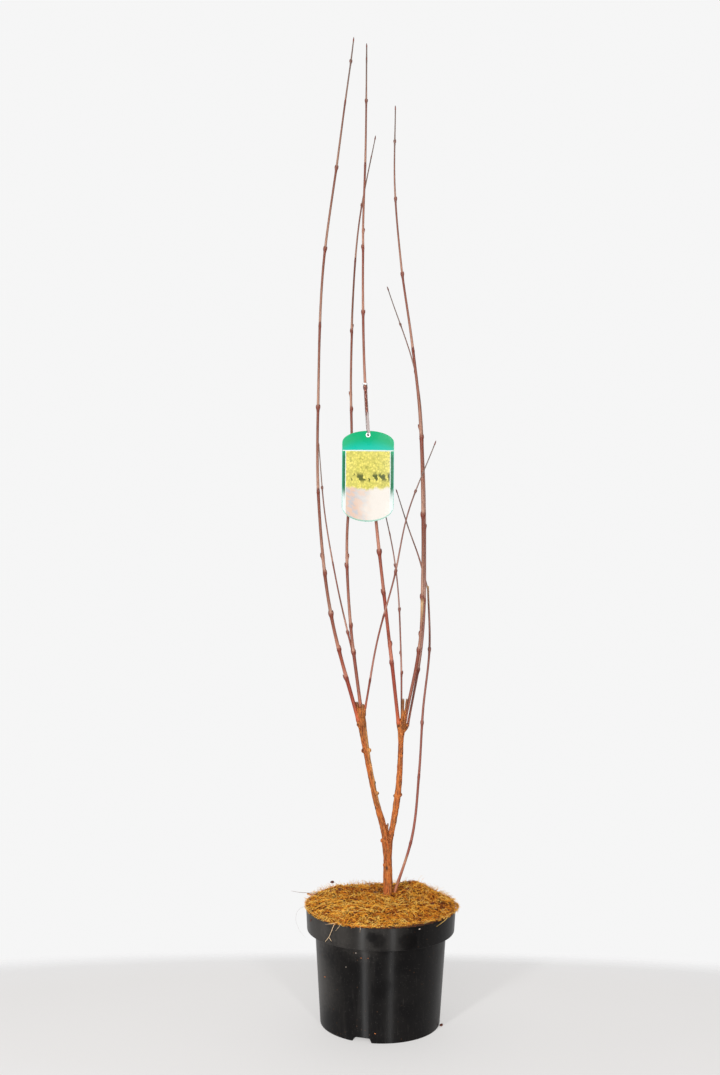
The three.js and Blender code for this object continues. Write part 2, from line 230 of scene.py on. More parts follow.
def mould(piece: Piece) -> Form:
    """Turns a piece into a mould for copies.

    Args:
        piece: The piece, which is removed.

    Returns:
        The places of its vertices, and the vertex numbers of its faces.
    """
    shape = places_of(piece)
    faces = [list(face.vertices) for face in piece.data.polygons]
    bpy.data.objects.remove(piece)
    return shape, faces


def rounded(profile: list[tuple[float, float]], reach: float, steps: int = 4
            ) -> list[tuple[float, float]]:
    """Rounds the inner corners of a profile.

    Args:
        profile: Radius and height of each corner.
        reach: How far each rounding runs along the sides of its corner.
        steps: Number of short sides that make up a rounding.

    Returns:
        The profile with a curve of points in place of each inner corner.
    """
    points = [profile[0]]
    for before, corner, after in zip(profile, profile[1:], profile[2:]):
        here = np.array(corner)
        arms = [np.array(before) - here, np.array(after) - here]
        start, end = (here + arm * min(0.45, reach / np.linalg.norm(arm)) for arm in arms)
        for t in np.linspace(0, 1, steps + 1):
            points.append(tuple((1 - t) ** 2 * start + 2 * t * (1 - t) * here + t ** 2 * end))
    return points + [profile[-1]]


class Stock:
    """Closed shells gathered as arrays, which become one joined piece."""

    def __init__(self) -> None:
        """Starts empty."""
        self.points: list[Array] = []
        self.faces: Faces = []
        self.slots: list[int] = []
        self.marks: dict[str, list[Array]] = {}
        self.count = 0

    def add(self, points: Array, faces: Faces, slot: int = 0, **marks: Array) -> None:
        """Adds one shell, or a batch of shells.

        Args:
            points: Places of the vertices, one row each.
            faces: Vertex numbers of each face, counted from this shell's first.
            slot: Number of the material that the faces wear.
            marks: A value for each vertex, under the name of its attribute.
        """
        for name, values in marks.items():
            self.marks.setdefault(name, []).append(np.asarray(values, float))
        self.points.append(points)
        self.faces.extend([corner + self.count for corner in face] for face in faces)
        self.slots.extend([slot] * len(faces))
        self.count += len(points)

    def fibres(self, routes: Array, girths: Array, lot: Array) -> None:
        """Adds thin three-sided fibres.

        Args:
            routes: Points of each fibre.
            girths: Radius at each point.
            lot: Number of the material that each fibre wears.
        """
        for slot in range(lot.max() + 1):
            chosen = lot == slot
            self.add(*tubes(routes[chosen], girths[chosen], 3, UP), slot=slot)

    def piece(self, name: str, *materials: Material) -> Piece:
        """Makes the joined piece, smooth all over.

        Args:
            name: Name of the piece.
            materials: Its materials, in the order of their numbers.

        Returns:
            The new object.
        """
        mesh = bpy.data.meshes.new(name)
        mesh.from_pydata(np.vstack(self.points).tolist(), [], self.faces)
        mesh.polygons.foreach_set("material_index", self.slots)
        mesh.shade_smooth()
        for mark, values in self.marks.items():
            put_mark(mesh, mark, np.concatenate(values))
        for material in materials:
            mesh.materials.append(material)
        piece = bpy.data.objects.new(name, mesh)
        bpy.context.scene.collection.objects.link(piece)
        return piece


def put_mark(mesh: bpy.types.Mesh, name: str, values: Array) -> None:
    """Stores a number, or a vector of three, for each vertex of a mesh.

    Args:
        mesh: The mesh.
        name: Name of the attribute.
        values: One value or one row of three for each vertex.
    """
    kind, key = ("FLOAT_VECTOR", "vector") if values.ndim == 2 else ("FLOAT", "value")
    made = mesh.attributes.new(name, kind, "POINT")
    made.data.foreach_set(key, np.ascontiguousarray(values, np.float32).ravel())


def places_of(piece: Piece) -> Array:
    """Reads where a piece's vertices are.

    Args:
        piece: The piece.

    Returns:
        Their places, one row each.
    """
    flat = np.empty(len(piece.data.vertices) * 3)
    piece.data.vertices.foreach_get("co", flat)
    return flat.reshape(-1, 3)


def move_to(piece: Piece, places: Array) -> None:
    """Puts a piece's vertices at new places."""
    piece.data.vertices.foreach_set("co", places.ravel())
    piece.data.update()


def tubes(paths: Array, radii: Array, sides: int, level: Vector) -> Form:
    """Closed tubes along a batch of paths that have the same number of points.

    Args:
        paths: Points of each path, as an array of tubes, points and three numbers.
        radii: Radius at each point, or at each point and side.
        sides: Number of sides of each tube.
        level: Direction that the first side of a section leans to.

    Returns:
        Places of the vertices, and the vertex numbers of each face.
    """
    count, length = paths.shape[:2]
    ahead = np.gradient(paths, axis=1)
    ahead /= np.linalg.norm(ahead, axis=2, keepdims=True)
    toward = np.array(level, float)
    side = toward - ahead * (ahead @ toward)[..., None]
    side /= np.maximum(np.linalg.norm(side, axis=2, keepdims=True), 1e-9)
    other = np.cross(ahead, side)
    turns = np.linspace(0, 2 * math.pi, sides, endpoint=False)
    if radii.ndim == 2:
        radii = radii[..., None]
    ring = (np.cos(turns)[:, None] * side[:, :, None] + np.sin(turns)[:, None] * other[:, :, None])
    points = paths[:, :, None] + ring * np.broadcast_to(radii, (count, length, sides))[..., None]
    first = np.arange(count)[:, None, None] * length * sides
    here = first + np.arange(length - 1)[None, :, None] * sides + np.arange(sides)
    beside = first + np.arange(length - 1)[None, :, None] * sides + (np.arange(sides) + 1) % sides
    walls = np.stack([here, beside, beside + sides, here + sides], -1).reshape(-1, 4)
    foot = first[:, 0] + np.arange(sides)[::-1]
    top = first[:, 0] + (length - 1) * sides + np.arange(sides)
    return points.reshape(-1, 3), walls.tolist() + foot.tolist() + top.tolist()


@dataclass(frozen=True)
class Limb:
    """A tapering limb, given at even steps of height from its foot to its top.

    across and depth are its places from side to side and front to back, girth is its
    radius, and a smooth curve runs through those stations.
    """

    foot: float
    top: float
    across: tuple[float, ...]
    depth: tuple[float, ...]
    girth: tuple[float, ...]

    def shares(self, heights: Array) -> Array:
        """Shares of the limb's height at some heights."""
        return (heights - self.foot) / (self.top - self.foot)

    def centres(self, heights: Array) -> Array:
        """Follows the centre line.

        Args:
            heights: The heights, within the limb.

        Returns:
            Its places there, one row each.
        """
        last = len(self.across) - 1
        stations = np.column_stack([
            self.across, self.depth, np.linspace(self.foot, self.top, last + 1)])
        knots = np.vstack([
            2 * stations[0] - stations[1], stations, 2 * stations[-1] - stations[-2]])
        place = self.shares(heights) * last
        lower = np.clip(np.floor(place).astype(int), 0, last - 1)
        t = (place - lower)[:, None]
        a, b, c, d = (knots[lower + k] for k in range(4))
        return 0.5 * (2 * b + (c - a) * t + (2 * a - 5 * b + 4 * c - d) * t ** 2
                      + (3 * b - a - 3 * c + d) * t ** 3)

    def radii(self, heights: Array) -> Array:
        """Radii at some heights."""
        even = np.linspace(0, 1, len(self.girth))
        return np.interp(self.shares(heights), even, self.girth)

    def at(self, height: float) -> tuple[Array, float]:
        """Centre and radius at one height."""
        spot = np.array([height])
        return self.centres(spot)[0], self.radii(spot)[0]


class Board:
    """A node tree, with short ways to add nodes to it and to join them."""

    def __init__(self, tree: bpy.types.NodeTree) -> None:
        """Works on one node tree."""
        self.tree = tree

    def add(self, kind: str, feeds: dict | None = None, **settings: object) -> bpy.types.Node:
        """Adds a node.

        Args:
            kind: Blender's name for the node.
            feeds: Values or sockets for its inputs, by the input's name or number.
            settings: Values of the node itself.

        Returns:
            The new node.
        """
        node = self.tree.nodes.new(kind)
        for name, value in settings.items():
            setattr(node, name, value)
        for key, value in (feeds or {}).items():
            if isinstance(value, Socket):
                self.tree.links.new(value, node.inputs[key])
            else:
                node.inputs[key].default_value = value
        return node

    def blend(self, share: object, first: object, second: object) -> Socket:
        """Mixes two colours by a share."""
        feeds = {0: share, 6: first, 7: second}
        return self.add("ShaderNodeMix", feeds, data_type="RGBA").outputs[2]

    def tint(self, colour: object, over: object, mask: object, share: float) -> Socket:
        """Lays one colour over another by a share of a mask."""
        return self.blend(self.times(mask, share), colour, over)

    def math(self, operation: str, first: object, second: object = 0.0) -> Socket:
        """Works out one number from two."""
        return self.add("ShaderNodeMath", {0: first, 1: second}, operation=operation).outputs[0]

    def plus(self, first: object, second: object) -> Socket:
        """Adds two numbers."""
        return self.math("ADD", first, second)

    def minus(self, first: object, second: object) -> Socket:
        """Takes the second number from the first."""
        return self.math("SUBTRACT", first, second)

    def times(self, first: object, second: object) -> Socket:
        """Multiplies two numbers."""
        return self.math("MULTIPLY", first, second)

    def remap(self, value: object, low: object, high: object, start: float = 0.0, end: float = 1.0
              ) -> Socket:
        """Takes low to high over to start to end, and holds it there beyond them."""
        feeds = {"Value": value, "From Min": low, "From Max": high, "To Min": start, "To Max": end}
        return self.add("ShaderNodeMapRange", feeds, interpolation_type="SMOOTHSTEP").outputs[0]

    def noise(self, place: object, scale: object, detail: float = 3.0) -> Socket:
        """Cloudy numbers about a half."""
        feeds = {"Vector": place, "Scale": scale, "Detail": detail}
        return self.add("ShaderNodeTexNoise", feeds).outputs[0]

    def stretch(self, place: object, scale: Place) -> Socket:
        """Scales places along the three axes."""
        return self.add("ShaderNodeMapping", {"Vector": place, "Scale": scale}).outputs[0]

    def place(self) -> Socket:
        """Places on the piece in the object's own frame."""
        return self.add("ShaderNodeTexCoord").outputs["Object"]

    def mark(self, name: str, output: str = "Fac") -> Socket:
        """The piece's attribute of that name."""
        return self.add("ShaderNodeAttribute", attribute_name=name).outputs[output]

    def ramp(self, share: object, stops: tuple[tuple[float, Colour], ...]) -> Socket:
        """Runs through some colours.

        Args:
            share: How far along the run to read.
            stops: Share and colour of each stop.

        Returns:
            The colour.
        """
        node = self.add("ShaderNodeValToRGB", {0: share})
        elements = node.color_ramp.elements
        while len(elements) < len(stops):
            elements.new(0.5)
        for element, (position, colour) in zip(elements, stops):
            element.position = position
            element.color = colour
        return node.outputs[0]

    def effect(self, kind: Effect, **feeds: object) -> Socket:
        """Places a shared effect.

        Args:
            kind: Which effect it is.
            feeds: Values or sockets for its inputs.

        Returns:
            Its mask.
        """
        named = {key.title(): value for key, value in feeds.items()}
        group = bpy.data.node_groups[kind.value]
        return self.add("ShaderNodeGroup", named, node_tree=group).outputs["Mask"]

    def relief(self, height: object, depth: float) -> Socket:
        """A normal that follows fine relief of the given depth."""
        return self.add("ShaderNodeBump", {"Height": height, "Distance": depth}).outputs[0]

    def surface(self, **feeds: object) -> None:
        """Ends the tree in one Principled shader.

        Args:
            feeds: Its inputs, named with underscores for spaces.
        """
        titles = [key.replace("_", " ").title().replace("Ior", "IOR") for key in feeds]
        shader = self.add("ShaderNodeBsdfPrincipled", dict(zip(titles, feeds.values())))
        self.add("ShaderNodeOutputMaterial", {"Surface": shader.outputs[0]})


def fresh_material(name: str) -> tuple[Material, Board]:
    """Starts a material.

    Args:
        name: Its name.

    Returns:
        The material, and the board of its empty tree.
    """
    material = bpy.data.materials.new(name)
    material.use_nodes = True
    material.node_tree.nodes.clear()
    return material, Board(material.node_tree)


class Group(Board):
    """The tree of a shared effect, which takes a place and some numbers and gives a mask."""

    def __init__(self, kind: Effect, **inputs: float) -> None:
        """Opens the group.

        Args:
            kind: Which effect it is.
            inputs: Its numbers, with the values that they start from.
        """
        super().__init__(bpy.data.node_groups.new(kind.value, "ShaderNodeTree"))
        self.socket("Place", "INPUT", "NodeSocketVector")
        for label, value in inputs.items():
            self.socket(label.title(), "INPUT", "NodeSocketFloat").default_value = value
        self.socket("Mask", "OUTPUT", "NodeSocketFloat")
        self.given = self.add("NodeGroupInput").outputs
        self.end = self.add("NodeGroupOutput")

    def socket(self, label: str, way: str, kind: str) -> bpy.types.NodeTreeInterfaceSocket:
        """Adds one socket to the group's own interface."""
        return self.tree.interface.new_socket(label, in_out=way, socket_type=kind)

    def close(self, mask: Socket) -> None:
        """Gives a mask as the group's own."""
        self.tree.links.new(mask, self.end.inputs["Mask"])


def build_mottle() -> None:
    """Builds the effect of soft clouds between two limits."""
    group = Group(Effect.MOTTLE, scale=60.0, low=0.4, high=0.6)
    place, scale, low, high = group.given[:4]
    group.close(group.remap(group.noise(place, scale, 4.0), low, high))


def build_grain() -> None:
    """Builds the effect of streaks that run along the third axis."""
    group = Group(Effect.GRAIN, scale=500.0, along=0.1, low=0.4, high=0.6)
    place, scale, along, low, high = group.given[:5]
    axes = group.add("ShaderNodeCombineXYZ", {0: 1.0, 1: 1.0, 2: along}).outputs[0]
    drawn = group.add("ShaderNodeVectorMath", {0: place, 1: axes}, operation="MULTIPLY").outputs[0]
    group.close(group.remap(group.noise(drawn, scale, 4.0), low, high))


def build_flecks() -> None:
    """Builds the effect of small round flecks, in only a share of the cells."""
    group = Group(Effect.FLECKS, scale=300.0, size=0.25, share=0.5)
    place, scale, size, share = group.given[:4]
    cells = group.add("ShaderNodeTexVoronoi", {"Vector": place, "Scale": scale}).outputs
    dot = group.remap(cells["Distance"], group.times(size, 0.6), size, 1.0, 0.0)
    lot = group.add("ShaderNodeSeparateColor", {0: cells["Color"]}).outputs[0]
    group.close(group.times(dot, group.math("LESS_THAN", lot, share)))


def build_spot() -> None:
    """Builds the effect of one soft round spot, with a ragged edge, about a given place."""
    group = Group(Effect.SPOT, radius=0.01, rag=0.3)
    group.socket("Centre", "INPUT", "NodeSocketVector")
    place, radius, rag, centre = group.given[:4]
    gap = group.add("ShaderNodeVectorMath", {0: place, 1: centre}, operation="DISTANCE")
    share = group.math("DIVIDE", gap.outputs["Value"], radius)
    wander = group.minus(group.noise(place, 260.0), 0.5)
    ragged = group.plus(share, group.times(wander, rag))
    group.close(group.remap(ragged, 0.45, 1.0, 1.0, 0.0))


@dataclass(frozen=True)
class BarkFinish:
    """Thin orange-brown bark of the trunk and boughs, streaked along the limb."""

    brown: Colour = (0.46, 0.118, 0.02, 1)
    russet: Colour = (0.33, 0.07, 0.012, 1)
    dark: Colour = (0.1, 0.022, 0.006, 1)
    tan: Colour = (0.62, 0.3, 0.1, 1)
    ochre: Colour = (0.52, 0.195, 0.04, 1)
    head: Colour = (0.42, 0.125, 0.024, 1)
    scar: Colour = (0.04, 0.014, 0.008, 1)
    stub: Colour = (0.17, 0.075, 0.035, 1)
    cut: Colour = (0.27, 0.2, 0.15, 1)

    def material(self) -> Material:
        """Builds the material, which reads the piece's own marks.

        Returns:
            The material.
        """
        material, board = fresh_material("bark")
        grain = board.mark("grain", "Vector")
        patches = board.effect(Effect.MOTTLE, place=grain, scale=120.0, low=0.4, high=0.62)
        streaks = board.effect(Effect.GRAIN, place=grain, scale=480.0, along=0.2, low=0.47, high=0.59)
        fine = board.effect(Effect.GRAIN, place=grain, scale=1100.0, along=0.4, low=0.44, high=0.6)
        long_grain = board.stretch(grain, (1.0, 1.0, 2.2))
        pores = board.effect(Effect.FLECKS, place=long_grain, scale=420.0, size=0.2, share=0.35)
        golden = board.effect(Effect.GRAIN, place=grain, scale=330.0, along=0.1, low=0.52, high=0.66)
        colour = board.blend(patches, self.brown, self.russet)
        colour = board.tint(colour, self.ochre, golden, 0.6)
        colour = board.tint(colour, self.head, board.mark("head"), 0.8)
        # Paler tan down the left bough's right side: partly the bark's own tone, partly a painted
        # highlight
        colour = board.tint(colour, self.tan, board.mark("tan"), 0.85)
        # Painted shade: darker russet on the trunk round the crotch and up the feet of the boughs
        colour = board.tint(colour, self.russet, board.mark("crotch_shade"), 0.8)
        colour = board.tint(colour, self.dark, streaks, 0.72)
        colour = board.tint(colour, self.tan, fine, 0.24)
        colour = board.tint(colour, self.tan, pores, 0.4)
        colour = board.tint(colour, self.stub, board.mark("stub"), 0.75)
        colour = board.blend(board.mark("cut"), colour, self.cut)
        colour = board.blend(board.mark("scar"), colour, self.scar)
        height = board.minus(board.plus(fine, board.times(pores, 0.6)), board.times(streaks, 1.5))
        board.surface(base_color=colour, roughness=board.remap(fine, 0.0, 1.0, 0.5, 0.66),
                      specular_ior_level=0.2, normal=board.relief(height, 0.00012))
        return material


@dataclass(frozen=True)
class ShootFinish:
    """Smooth young bark: each length between nodes goes from ashen tan to dark red."""

    name: str
    ashen: Colour
    middle: Colour
    ruddy: Colour
    collar: Colour
    node: Colour = (0.15, 0.034, 0.019, 1)
    warm_node: Colour = (0.2, 0.04, 0.022, 1)
    warm_ashen: Colour = (0.46, 0.155, 0.095, 1)
    warm_middle: Colour = (0.33, 0.07, 0.036, 1)
    warm_ruddy: Colour = (0.25, 0.036, 0.018, 1)
    patch: Colour = (0.62, 0.42, 0.21, 1)
    ember: Colour = (0.52, 0.105, 0.03, 1)
    tip: Colour = (0.15, 0.115, 0.095, 1)

    def material(self) -> Material:
        """Builds the material, which reads where on the shoot it is from marks.

        Returns:
            The material.
        """
        material, board = fresh_material(self.name)
        phase = board.mark("phase")
        grain = board.mark("grain", "Vector")
        cool = board.ramp(phase, (
            (0.0, self.node), (0.05, self.ashen), (0.45, self.middle),
            (0.88, self.ruddy), (1.0, self.node)))
        warm = board.ramp(phase, (
            (0.0, self.warm_node), (0.05, self.warm_ashen), (0.4, self.warm_middle),
            (0.9, self.warm_ruddy), (1.0, self.warm_node)))
        colour = board.blend(board.mark("warm"), cool, warm)
        colour = board.blend(board.mark("ember"), colour, self.ember)
        colour = board.blend(board.mark("tip"), colour, self.tip)
        streaks = board.effect(Effect.GRAIN, place=grain, scale=1300.0, along=0.06, low=0.45, high=0.63)
        short_grain = board.stretch(grain, (1.0, 1.0, 0.55))
        pores = board.effect(Effect.FLECKS, place=short_grain, scale=900.0, size=0.24, share=0.4)
        colour = board.tint(colour, self.collar, streaks, 0.35)
        colour = board.blend(board.mark("patch"), colour, self.patch)
        colour = board.tint(colour, self.ashen, pores, 0.45)
        height = board.minus(pores, streaks)
        board.surface(base_color=colour, roughness=board.remap(streaks, 0.0, 1.0, 0.36, 0.5),
                      specular_ior_level=0.25, normal=board.relief(height, 0.00005))
        return material


@dataclass(frozen=True)
class BudFinish:
    """Dark red bud scales, paler at their foot."""

    foot: Colour = (0.19, 0.045, 0.022, 1)
    scale: Colour = (0.14, 0.024, 0.012, 1)
    tip: Colour = (0.08, 0.018, 0.014, 1)

    def material(self) -> Material:
        """Builds the material, which reads the share of the bud's length.

        Returns:
            The material.
        """
        material, board = fresh_material("bud_scale")
        stops = ((0.0, self.foot), (0.35, self.scale), (1.0, self.tip))
        colour = board.ramp(board.mark("phase"), stops)
        veins = board.effect(Effect.MOTTLE, place=board.place(), scale=1500.0, low=0.4, high=0.65)
        colour = board.tint(colour, self.foot, veins, 0.3)
        board.surface(base_color=colour, roughness=board.remap(veins, 0.0, 1.0, 0.34, 0.5),
                      normal=board.relief(veins, 0.00005))
        return material


@dataclass(frozen=True)
class FibreFinish:
    """One plain tint of coconut fibre."""

    name: str
    tint: Colour
    roughness: float = 0.62

    def material(self) -> Material:
        """Builds the material: the tint is plain, and only the gloss varies.

        Returns:
            The material.
        """
        material, board = fresh_material(self.name)
        shine = board.effect(Effect.MOTTLE, place=board.place(), scale=700.0, low=0.35, high=0.65)
        gloss = board.remap(shine, 0.0, 1.0, self.roughness - 0.08, self.roughness + 0.12)
        board.surface(base_color=self.tint, roughness=gloss, specular_ior_level=0.2)
        return material


@dataclass(frozen=True)
class GroundFinish:
    """Crumbly dark matter: the compost, and the felt under the fibres, whose darkness is painted shade
    between them.
    """

    name: str
    dark: Colour
    light: Colour
    crumb: float

    def material(self) -> Material:
        """Builds the material.

        Returns:
            The material.
        """
        material, board = fresh_material(self.name)
        place = board.place()
        clods = board.effect(Effect.MOTTLE, place=place, scale=self.crumb, low=0.42, high=0.66)
        bits = board.effect(Effect.FLECKS, place=place, scale=self.crumb * 1.7, size=0.3, share=0.4)
        colour = board.blend(clods, self.dark, self.light)
        colour = board.tint(colour, self.light, bits, 0.5)
        board.surface(base_color=colour, roughness=0.92,
                      normal=board.relief(board.plus(clods, bits), 0.0008))
        return material


@dataclass(frozen=True)
class PotFinish:
    """Black satin plastic with dust, dried drips, rubbed smudges and fine scratches, and pale hazes of
    dust and painted sheen.
    """

    black: Colour = (0.003, 0.0026, 0.0027, 1)
    dust_and_sheen_grey: Colour = (0.17, 0.155, 0.14, 1)
    soil: Colour = (0.1, 0.05, 0.025, 1)
    rubbed: Colour = (0.002, 0.0016, 0.0016, 1)
    # Middle and radius of each smudge that is darker and duller than the plastic
    smudges: Rows = (
        (-0.0046, -0.0911, 0.1265, 0.0125), (-0.012, -0.09, 0.131, 0.008),
        (-0.0009, -0.0773, 0.0613, 0.0105), (0.006, -0.076, 0.07, 0.009),
        (0.03, -0.086, 0.124, 0.015),
    )
    # Middle, radius and strength of each pale haze: dust, and a painted sheen of light on the collar and
    # the pot's left side
    dust_and_sheen_hazes: Rows = (
        (-0.08, -0.043, 0.13, 0.042, 0.17), (-0.056, -0.072, 0.13, 0.03, 0.08),
        (-0.03, -0.086, 0.13, 0.042, 0.09), (0.015, -0.09, 0.13, 0.026, 0.07),
        (-0.07, -0.033, 0.06, 0.046, 0.06), (-0.078, -0.006, 0.06, 0.056, 0.13),
    )

    def material(self) -> Material:
        """Builds the material.

        Returns:
            The material.
        """
        material, board = fresh_material("pot_plastic")
        place = board.place()
        film = board.effect(Effect.MOTTLE, place=place, scale=34.0, low=0.42, high=0.7)
        drips = board.effect(Effect.GRAIN, place=place, scale=110.0, along=0.12, low=0.52, high=0.7)
        specks = board.effect(Effect.FLECKS, place=place, scale=210.0, size=0.16, share=0.2)
        grit = board.effect(Effect.FLECKS, place=place, scale=620.0, size=0.3, share=0.16)
        scuffs = board.effect(Effect.GRAIN, place=place, scale=900.0, along=0.03, low=0.64, high=0.72)
        dust_and_sheen = board.times(film, 0.022)
        layers = [(drips, 0.03), (scuffs, 0.07), (grit, 0.14)]
        # The hazes lighten the black as dust, and as painted sheen where light falls on the collar and
        # the left side
        for *centre, radius, share in self.dust_and_sheen_hazes:
            haze = board.effect(Effect.SPOT, place=place, centre=centre, radius=radius, rag=0.5)
            layers.append((haze, share))
        for mask, share in layers:
            dust_and_sheen = board.plus(dust_and_sheen, board.times(mask, share))
        # The pale grey stands for dust, and in the hazes also for painted sheen
        colour = board.blend(dust_and_sheen, self.black, self.dust_and_sheen_grey)
        colour = board.tint(colour, self.soil, specks, 0.5)
        gloss = board.plus(board.remap(film, 0.0, 1.0, 0.38, 0.44), board.times(drips, 0.05))
        gloss = board.plus(gloss, board.times(specks, 0.3))
        for *centre, radius in self.smudges:
            smudge = board.effect(Effect.SPOT, place=place, centre=centre, radius=radius, rag=0.8)
            colour = board.tint(colour, self.rubbed, smudge, 0.75)
            gloss = board.plus(gloss, board.times(smudge, 0.12))
        height = board.plus(board.times(film, 0.4), grit)
        board.surface(base_color=colour, roughness=gloss, ior=1.24, anisotropic=1.0,
                      anisotropic_rotation=0.25, normal=board.relief(height, 0.00005))
        return material


@dataclass(frozen=True)
class LabelFinish:
    """Glossy card: a green band and edges round a plain print of yellow-green leaves."""

    green: Colour = (0.002, 0.3, 0.12, 1)
    teal: Colour = (0.003, 0.37, 0.27, 1)
    forest: Colour = (0.0, 0.11, 0.04, 1)
    yellow: Colour = (0.64, 0.56, 0.13, 1)
    lime: Colour = (0.44, 0.42, 0.08, 1)
    shade: Colour = (0.03, 0.05, 0.012, 1)
    cream: Colour = (0.59, 0.55, 0.5, 1)
    peach: Colour = (0.5, 0.31, 0.22, 1)
    haze: Colour = (0.32, 0.32, 0.35, 1)
    white: Colour = (0.54, 0.59, 0.57, 1)
    # Metres above the card's lower corners, and the depth of its two arcs
    band_height: float = 0.0689
    side_height: float = 0.0782
    top_rise: float = 0.0144
    bottom_drop: float = 0.0192

    def material(self) -> Material:
        """Builds the print on the card's own map, u across and v up.

        Returns:
            The material.
        """
        material, board = fresh_material("label_card")
        card = board.add("ShaderNodeUVMap", uv_map="UVMap").outputs[0]
        across, up = board.add("ShaderNodeSeparateXYZ", {0: card}).outputs[:2]
        from_middle = board.math("ABSOLUTE", board.minus(across, 0.5))
        leaves = self._leaves(board, card, across, up)
        pale_foot = self._pale_foot(board, card, across)
        wander = board.times(board.noise(board.stretch(card, (1.0, 0.4, 1.0)), 7.0), 0.16)
        field = board.blend(board.remap(board.plus(up, wander), 0.42, 0.46), pale_foot, leaves)
        green_edge = board.blend(board.remap(up, 0.16, 0.34), self.white, self.forest)
        green_edge = board.blend(board.remap(up, 0.72, 0.88), green_edge, self.green)
        colour = board.blend(board.remap(from_middle, 0.42, 0.426), field, self.white)
        colour = board.blend(board.remap(from_middle, 0.434, 0.44), colour, green_edge)
        above = board.minus(up, self._band_foot(board, from_middle))
        colour = board.blend(board.remap(above, -0.014, -0.011), colour, self.white)
        band = board.blend(board.remap(up, 0.8, 0.93), self.teal, self.green)
        colour = board.blend(board.remap(above, -0.001, 0.002), colour, band)
        at_side = board.remap(from_middle, 0.484, 0.49)
        at_foot = board.remap(board.minus(0.018, up), 0.0, 0.004)
        colour = board.tint(colour, self.teal, board.math("MAXIMUM", at_side, at_foot), 0.55)
        sheen = board.effect(Effect.MOTTLE, place=board.place(), scale=45.0, low=0.35, high=0.65)
        board.surface(base_color=colour, roughness=board.remap(sheen, 0.0, 1.0, 0.26, 0.38),
                      specular_ior_level=0.14)
        return material

    def _band_foot(self, board: Board, from_middle: Socket) -> Socket:
        """Finds where the band's level lower edge falls on the card's rows, which bow.

        Args:
            board: The board of the material.
            from_middle: Distance from the card's middle, as a share of its width.

        Returns:
            Its place up the card's own map.
        """
        side = board.times(from_middle, 2.0)
        rim = board.math("SQRT", board.minus(1.0, board.times(side, side)))
        rise = board.plus(self.band_height, board.times(rim, self.bottom_drop))
        whole = board.plus(self.side_height, board.times(rim, self.bottom_drop + self.top_rise))
        return board.math("DIVIDE", rise, whole)

    def _leaves(self, board: Board, card: Socket, across: Socket, up: Socket) -> Socket:
        """Paints a scatter of small round leaves over a shaded ground.

        Args:
            board: The board of the material.
            card: The card's own map.
            across: Its first axis.
            up: Its second axis.

        Returns:
            The colour.
        """
        drawn = board.stretch(card, (1.0, 1.5, 1.0))
        cells = board.add("ShaderNodeTexVoronoi", {"Vector": drawn, "Scale": 26.0})
        lot = board.add("ShaderNodeSeparateColor", {0: cells.outputs["Color"]})
        leaf = board.blend(board.times(lot.outputs[0], 0.7), self.yellow, self.lime)
        edge = board.remap(cells.outputs["Distance"], 0.3, 0.65)
        ground = board.tint(leaf, self.shade, edge, 0.26)
        dusky = board.remap(board.noise(drawn, 14.0), 0.56, 0.68)
        ground = board.tint(ground, self.shade, dusky, 0.34)
        near_row = board.math("ABSOLUTE", board.minus(up, 0.485))
        row = board.remap(near_row, 0.015, 0.075, 1.0, 0.0)
        rightward = board.times(board.minus(across, 0.5), 0.16)
        clumps = board.noise(board.stretch(card, (1.0, 1.0, 4.0)), 9.0)
        clumps = board.remap(board.plus(clumps, rightward), 0.52, 0.55)
        dark = board.times(row, clumps)
        return board.tint(ground, self.shade, dark, 0.9)

    def _pale_foot(self, board: Board, card: Socket, across: Socket) -> Socket:
        """Paints the pale foot of the print, a little peach and grey to the left.

        Args:
            board: The board of the material.
            card: The card's own map.
            across: Its first axis.

        Returns:
            The colour.
        """
        drawn = board.stretch(card, (1.0, 2.2, 1.0))
        rightward = board.plus(across, board.times(board.noise(drawn, 5.0), 0.35))
        left = board.remap(rightward, 0.35, 0.8, 1.0, 0.0)
        tint = board.blend(board.remap(board.noise(drawn, 8.0), 0.45, 0.6), self.peach, self.haze)
        return board.tint(self.cream, tint, left, 0.75)


@dataclass(frozen=True)
class MilkyPlastic:
    """Thin milky plastic of the tie and the eyelet."""

    name: str
    milk: Colour
    clearness: float
    grey: Colour = (0.5, 0.5, 0.5, 1)

    def material(self) -> Material:
        """Builds the material.

        Returns:
            The material.
        """
        material, board = fresh_material(self.name)
        cloud = board.effect(Effect.MOTTLE, place=board.place(), scale=220.0, low=0.3, high=0.7)
        thin = board.blend(0.15, self.milk, self.grey)
        board.surface(base_color=board.blend(cloud, self.milk, thin), ior=1.05,
                      roughness=board.remap(cloud, 0.0, 1.0, 0.15, 0.28),
                      transmission_weight=self.clearness)
        return material


@dataclass(frozen=True)
class FloorFinish:
    """Plain pale floor that grows lighter away from the object and fades into the air."""

    near: Colour = (0.78, 0.765, 0.755, 1)
    far: Colour = (0.8, 0.795, 0.8, 1)
    cloudy: Colour = (0.7, 0.69, 0.68, 1)
    # Share of the floor's brightness that no shadow takes away
    glow: float = 0.62

    def material(self) -> Material:
        """Builds the material.

        Returns:
            The material.
        """
        material, board = fresh_material("studio_floor")
        place = board.place()
        narrow = board.stretch(place, (0.29, 1.0, 1.0))
        away = board.add("ShaderNodeVectorMath", {0: narrow}, operation="LENGTH").outputs["Value"]
        cloud = board.effect(Effect.MOTTLE, place=place, scale=5.0, low=0.3, high=0.7)
        colour = board.blend(board.remap(away, 0.15, 0.3), self.near, self.far)
        colour = board.tint(colour, self.cloudy, cloud, 0.06)
        matt = board.blend(self.glow, colour, (0, 0, 0, 1))
        board.surface(base_color=matt, roughness=0.75, specular_ior_level=0.2,
                      emission_color=colour, emission_strength=self.glow,
                      alpha=board.remap(away, 0.215, 0.275, 1.0, 0.0))
        return material


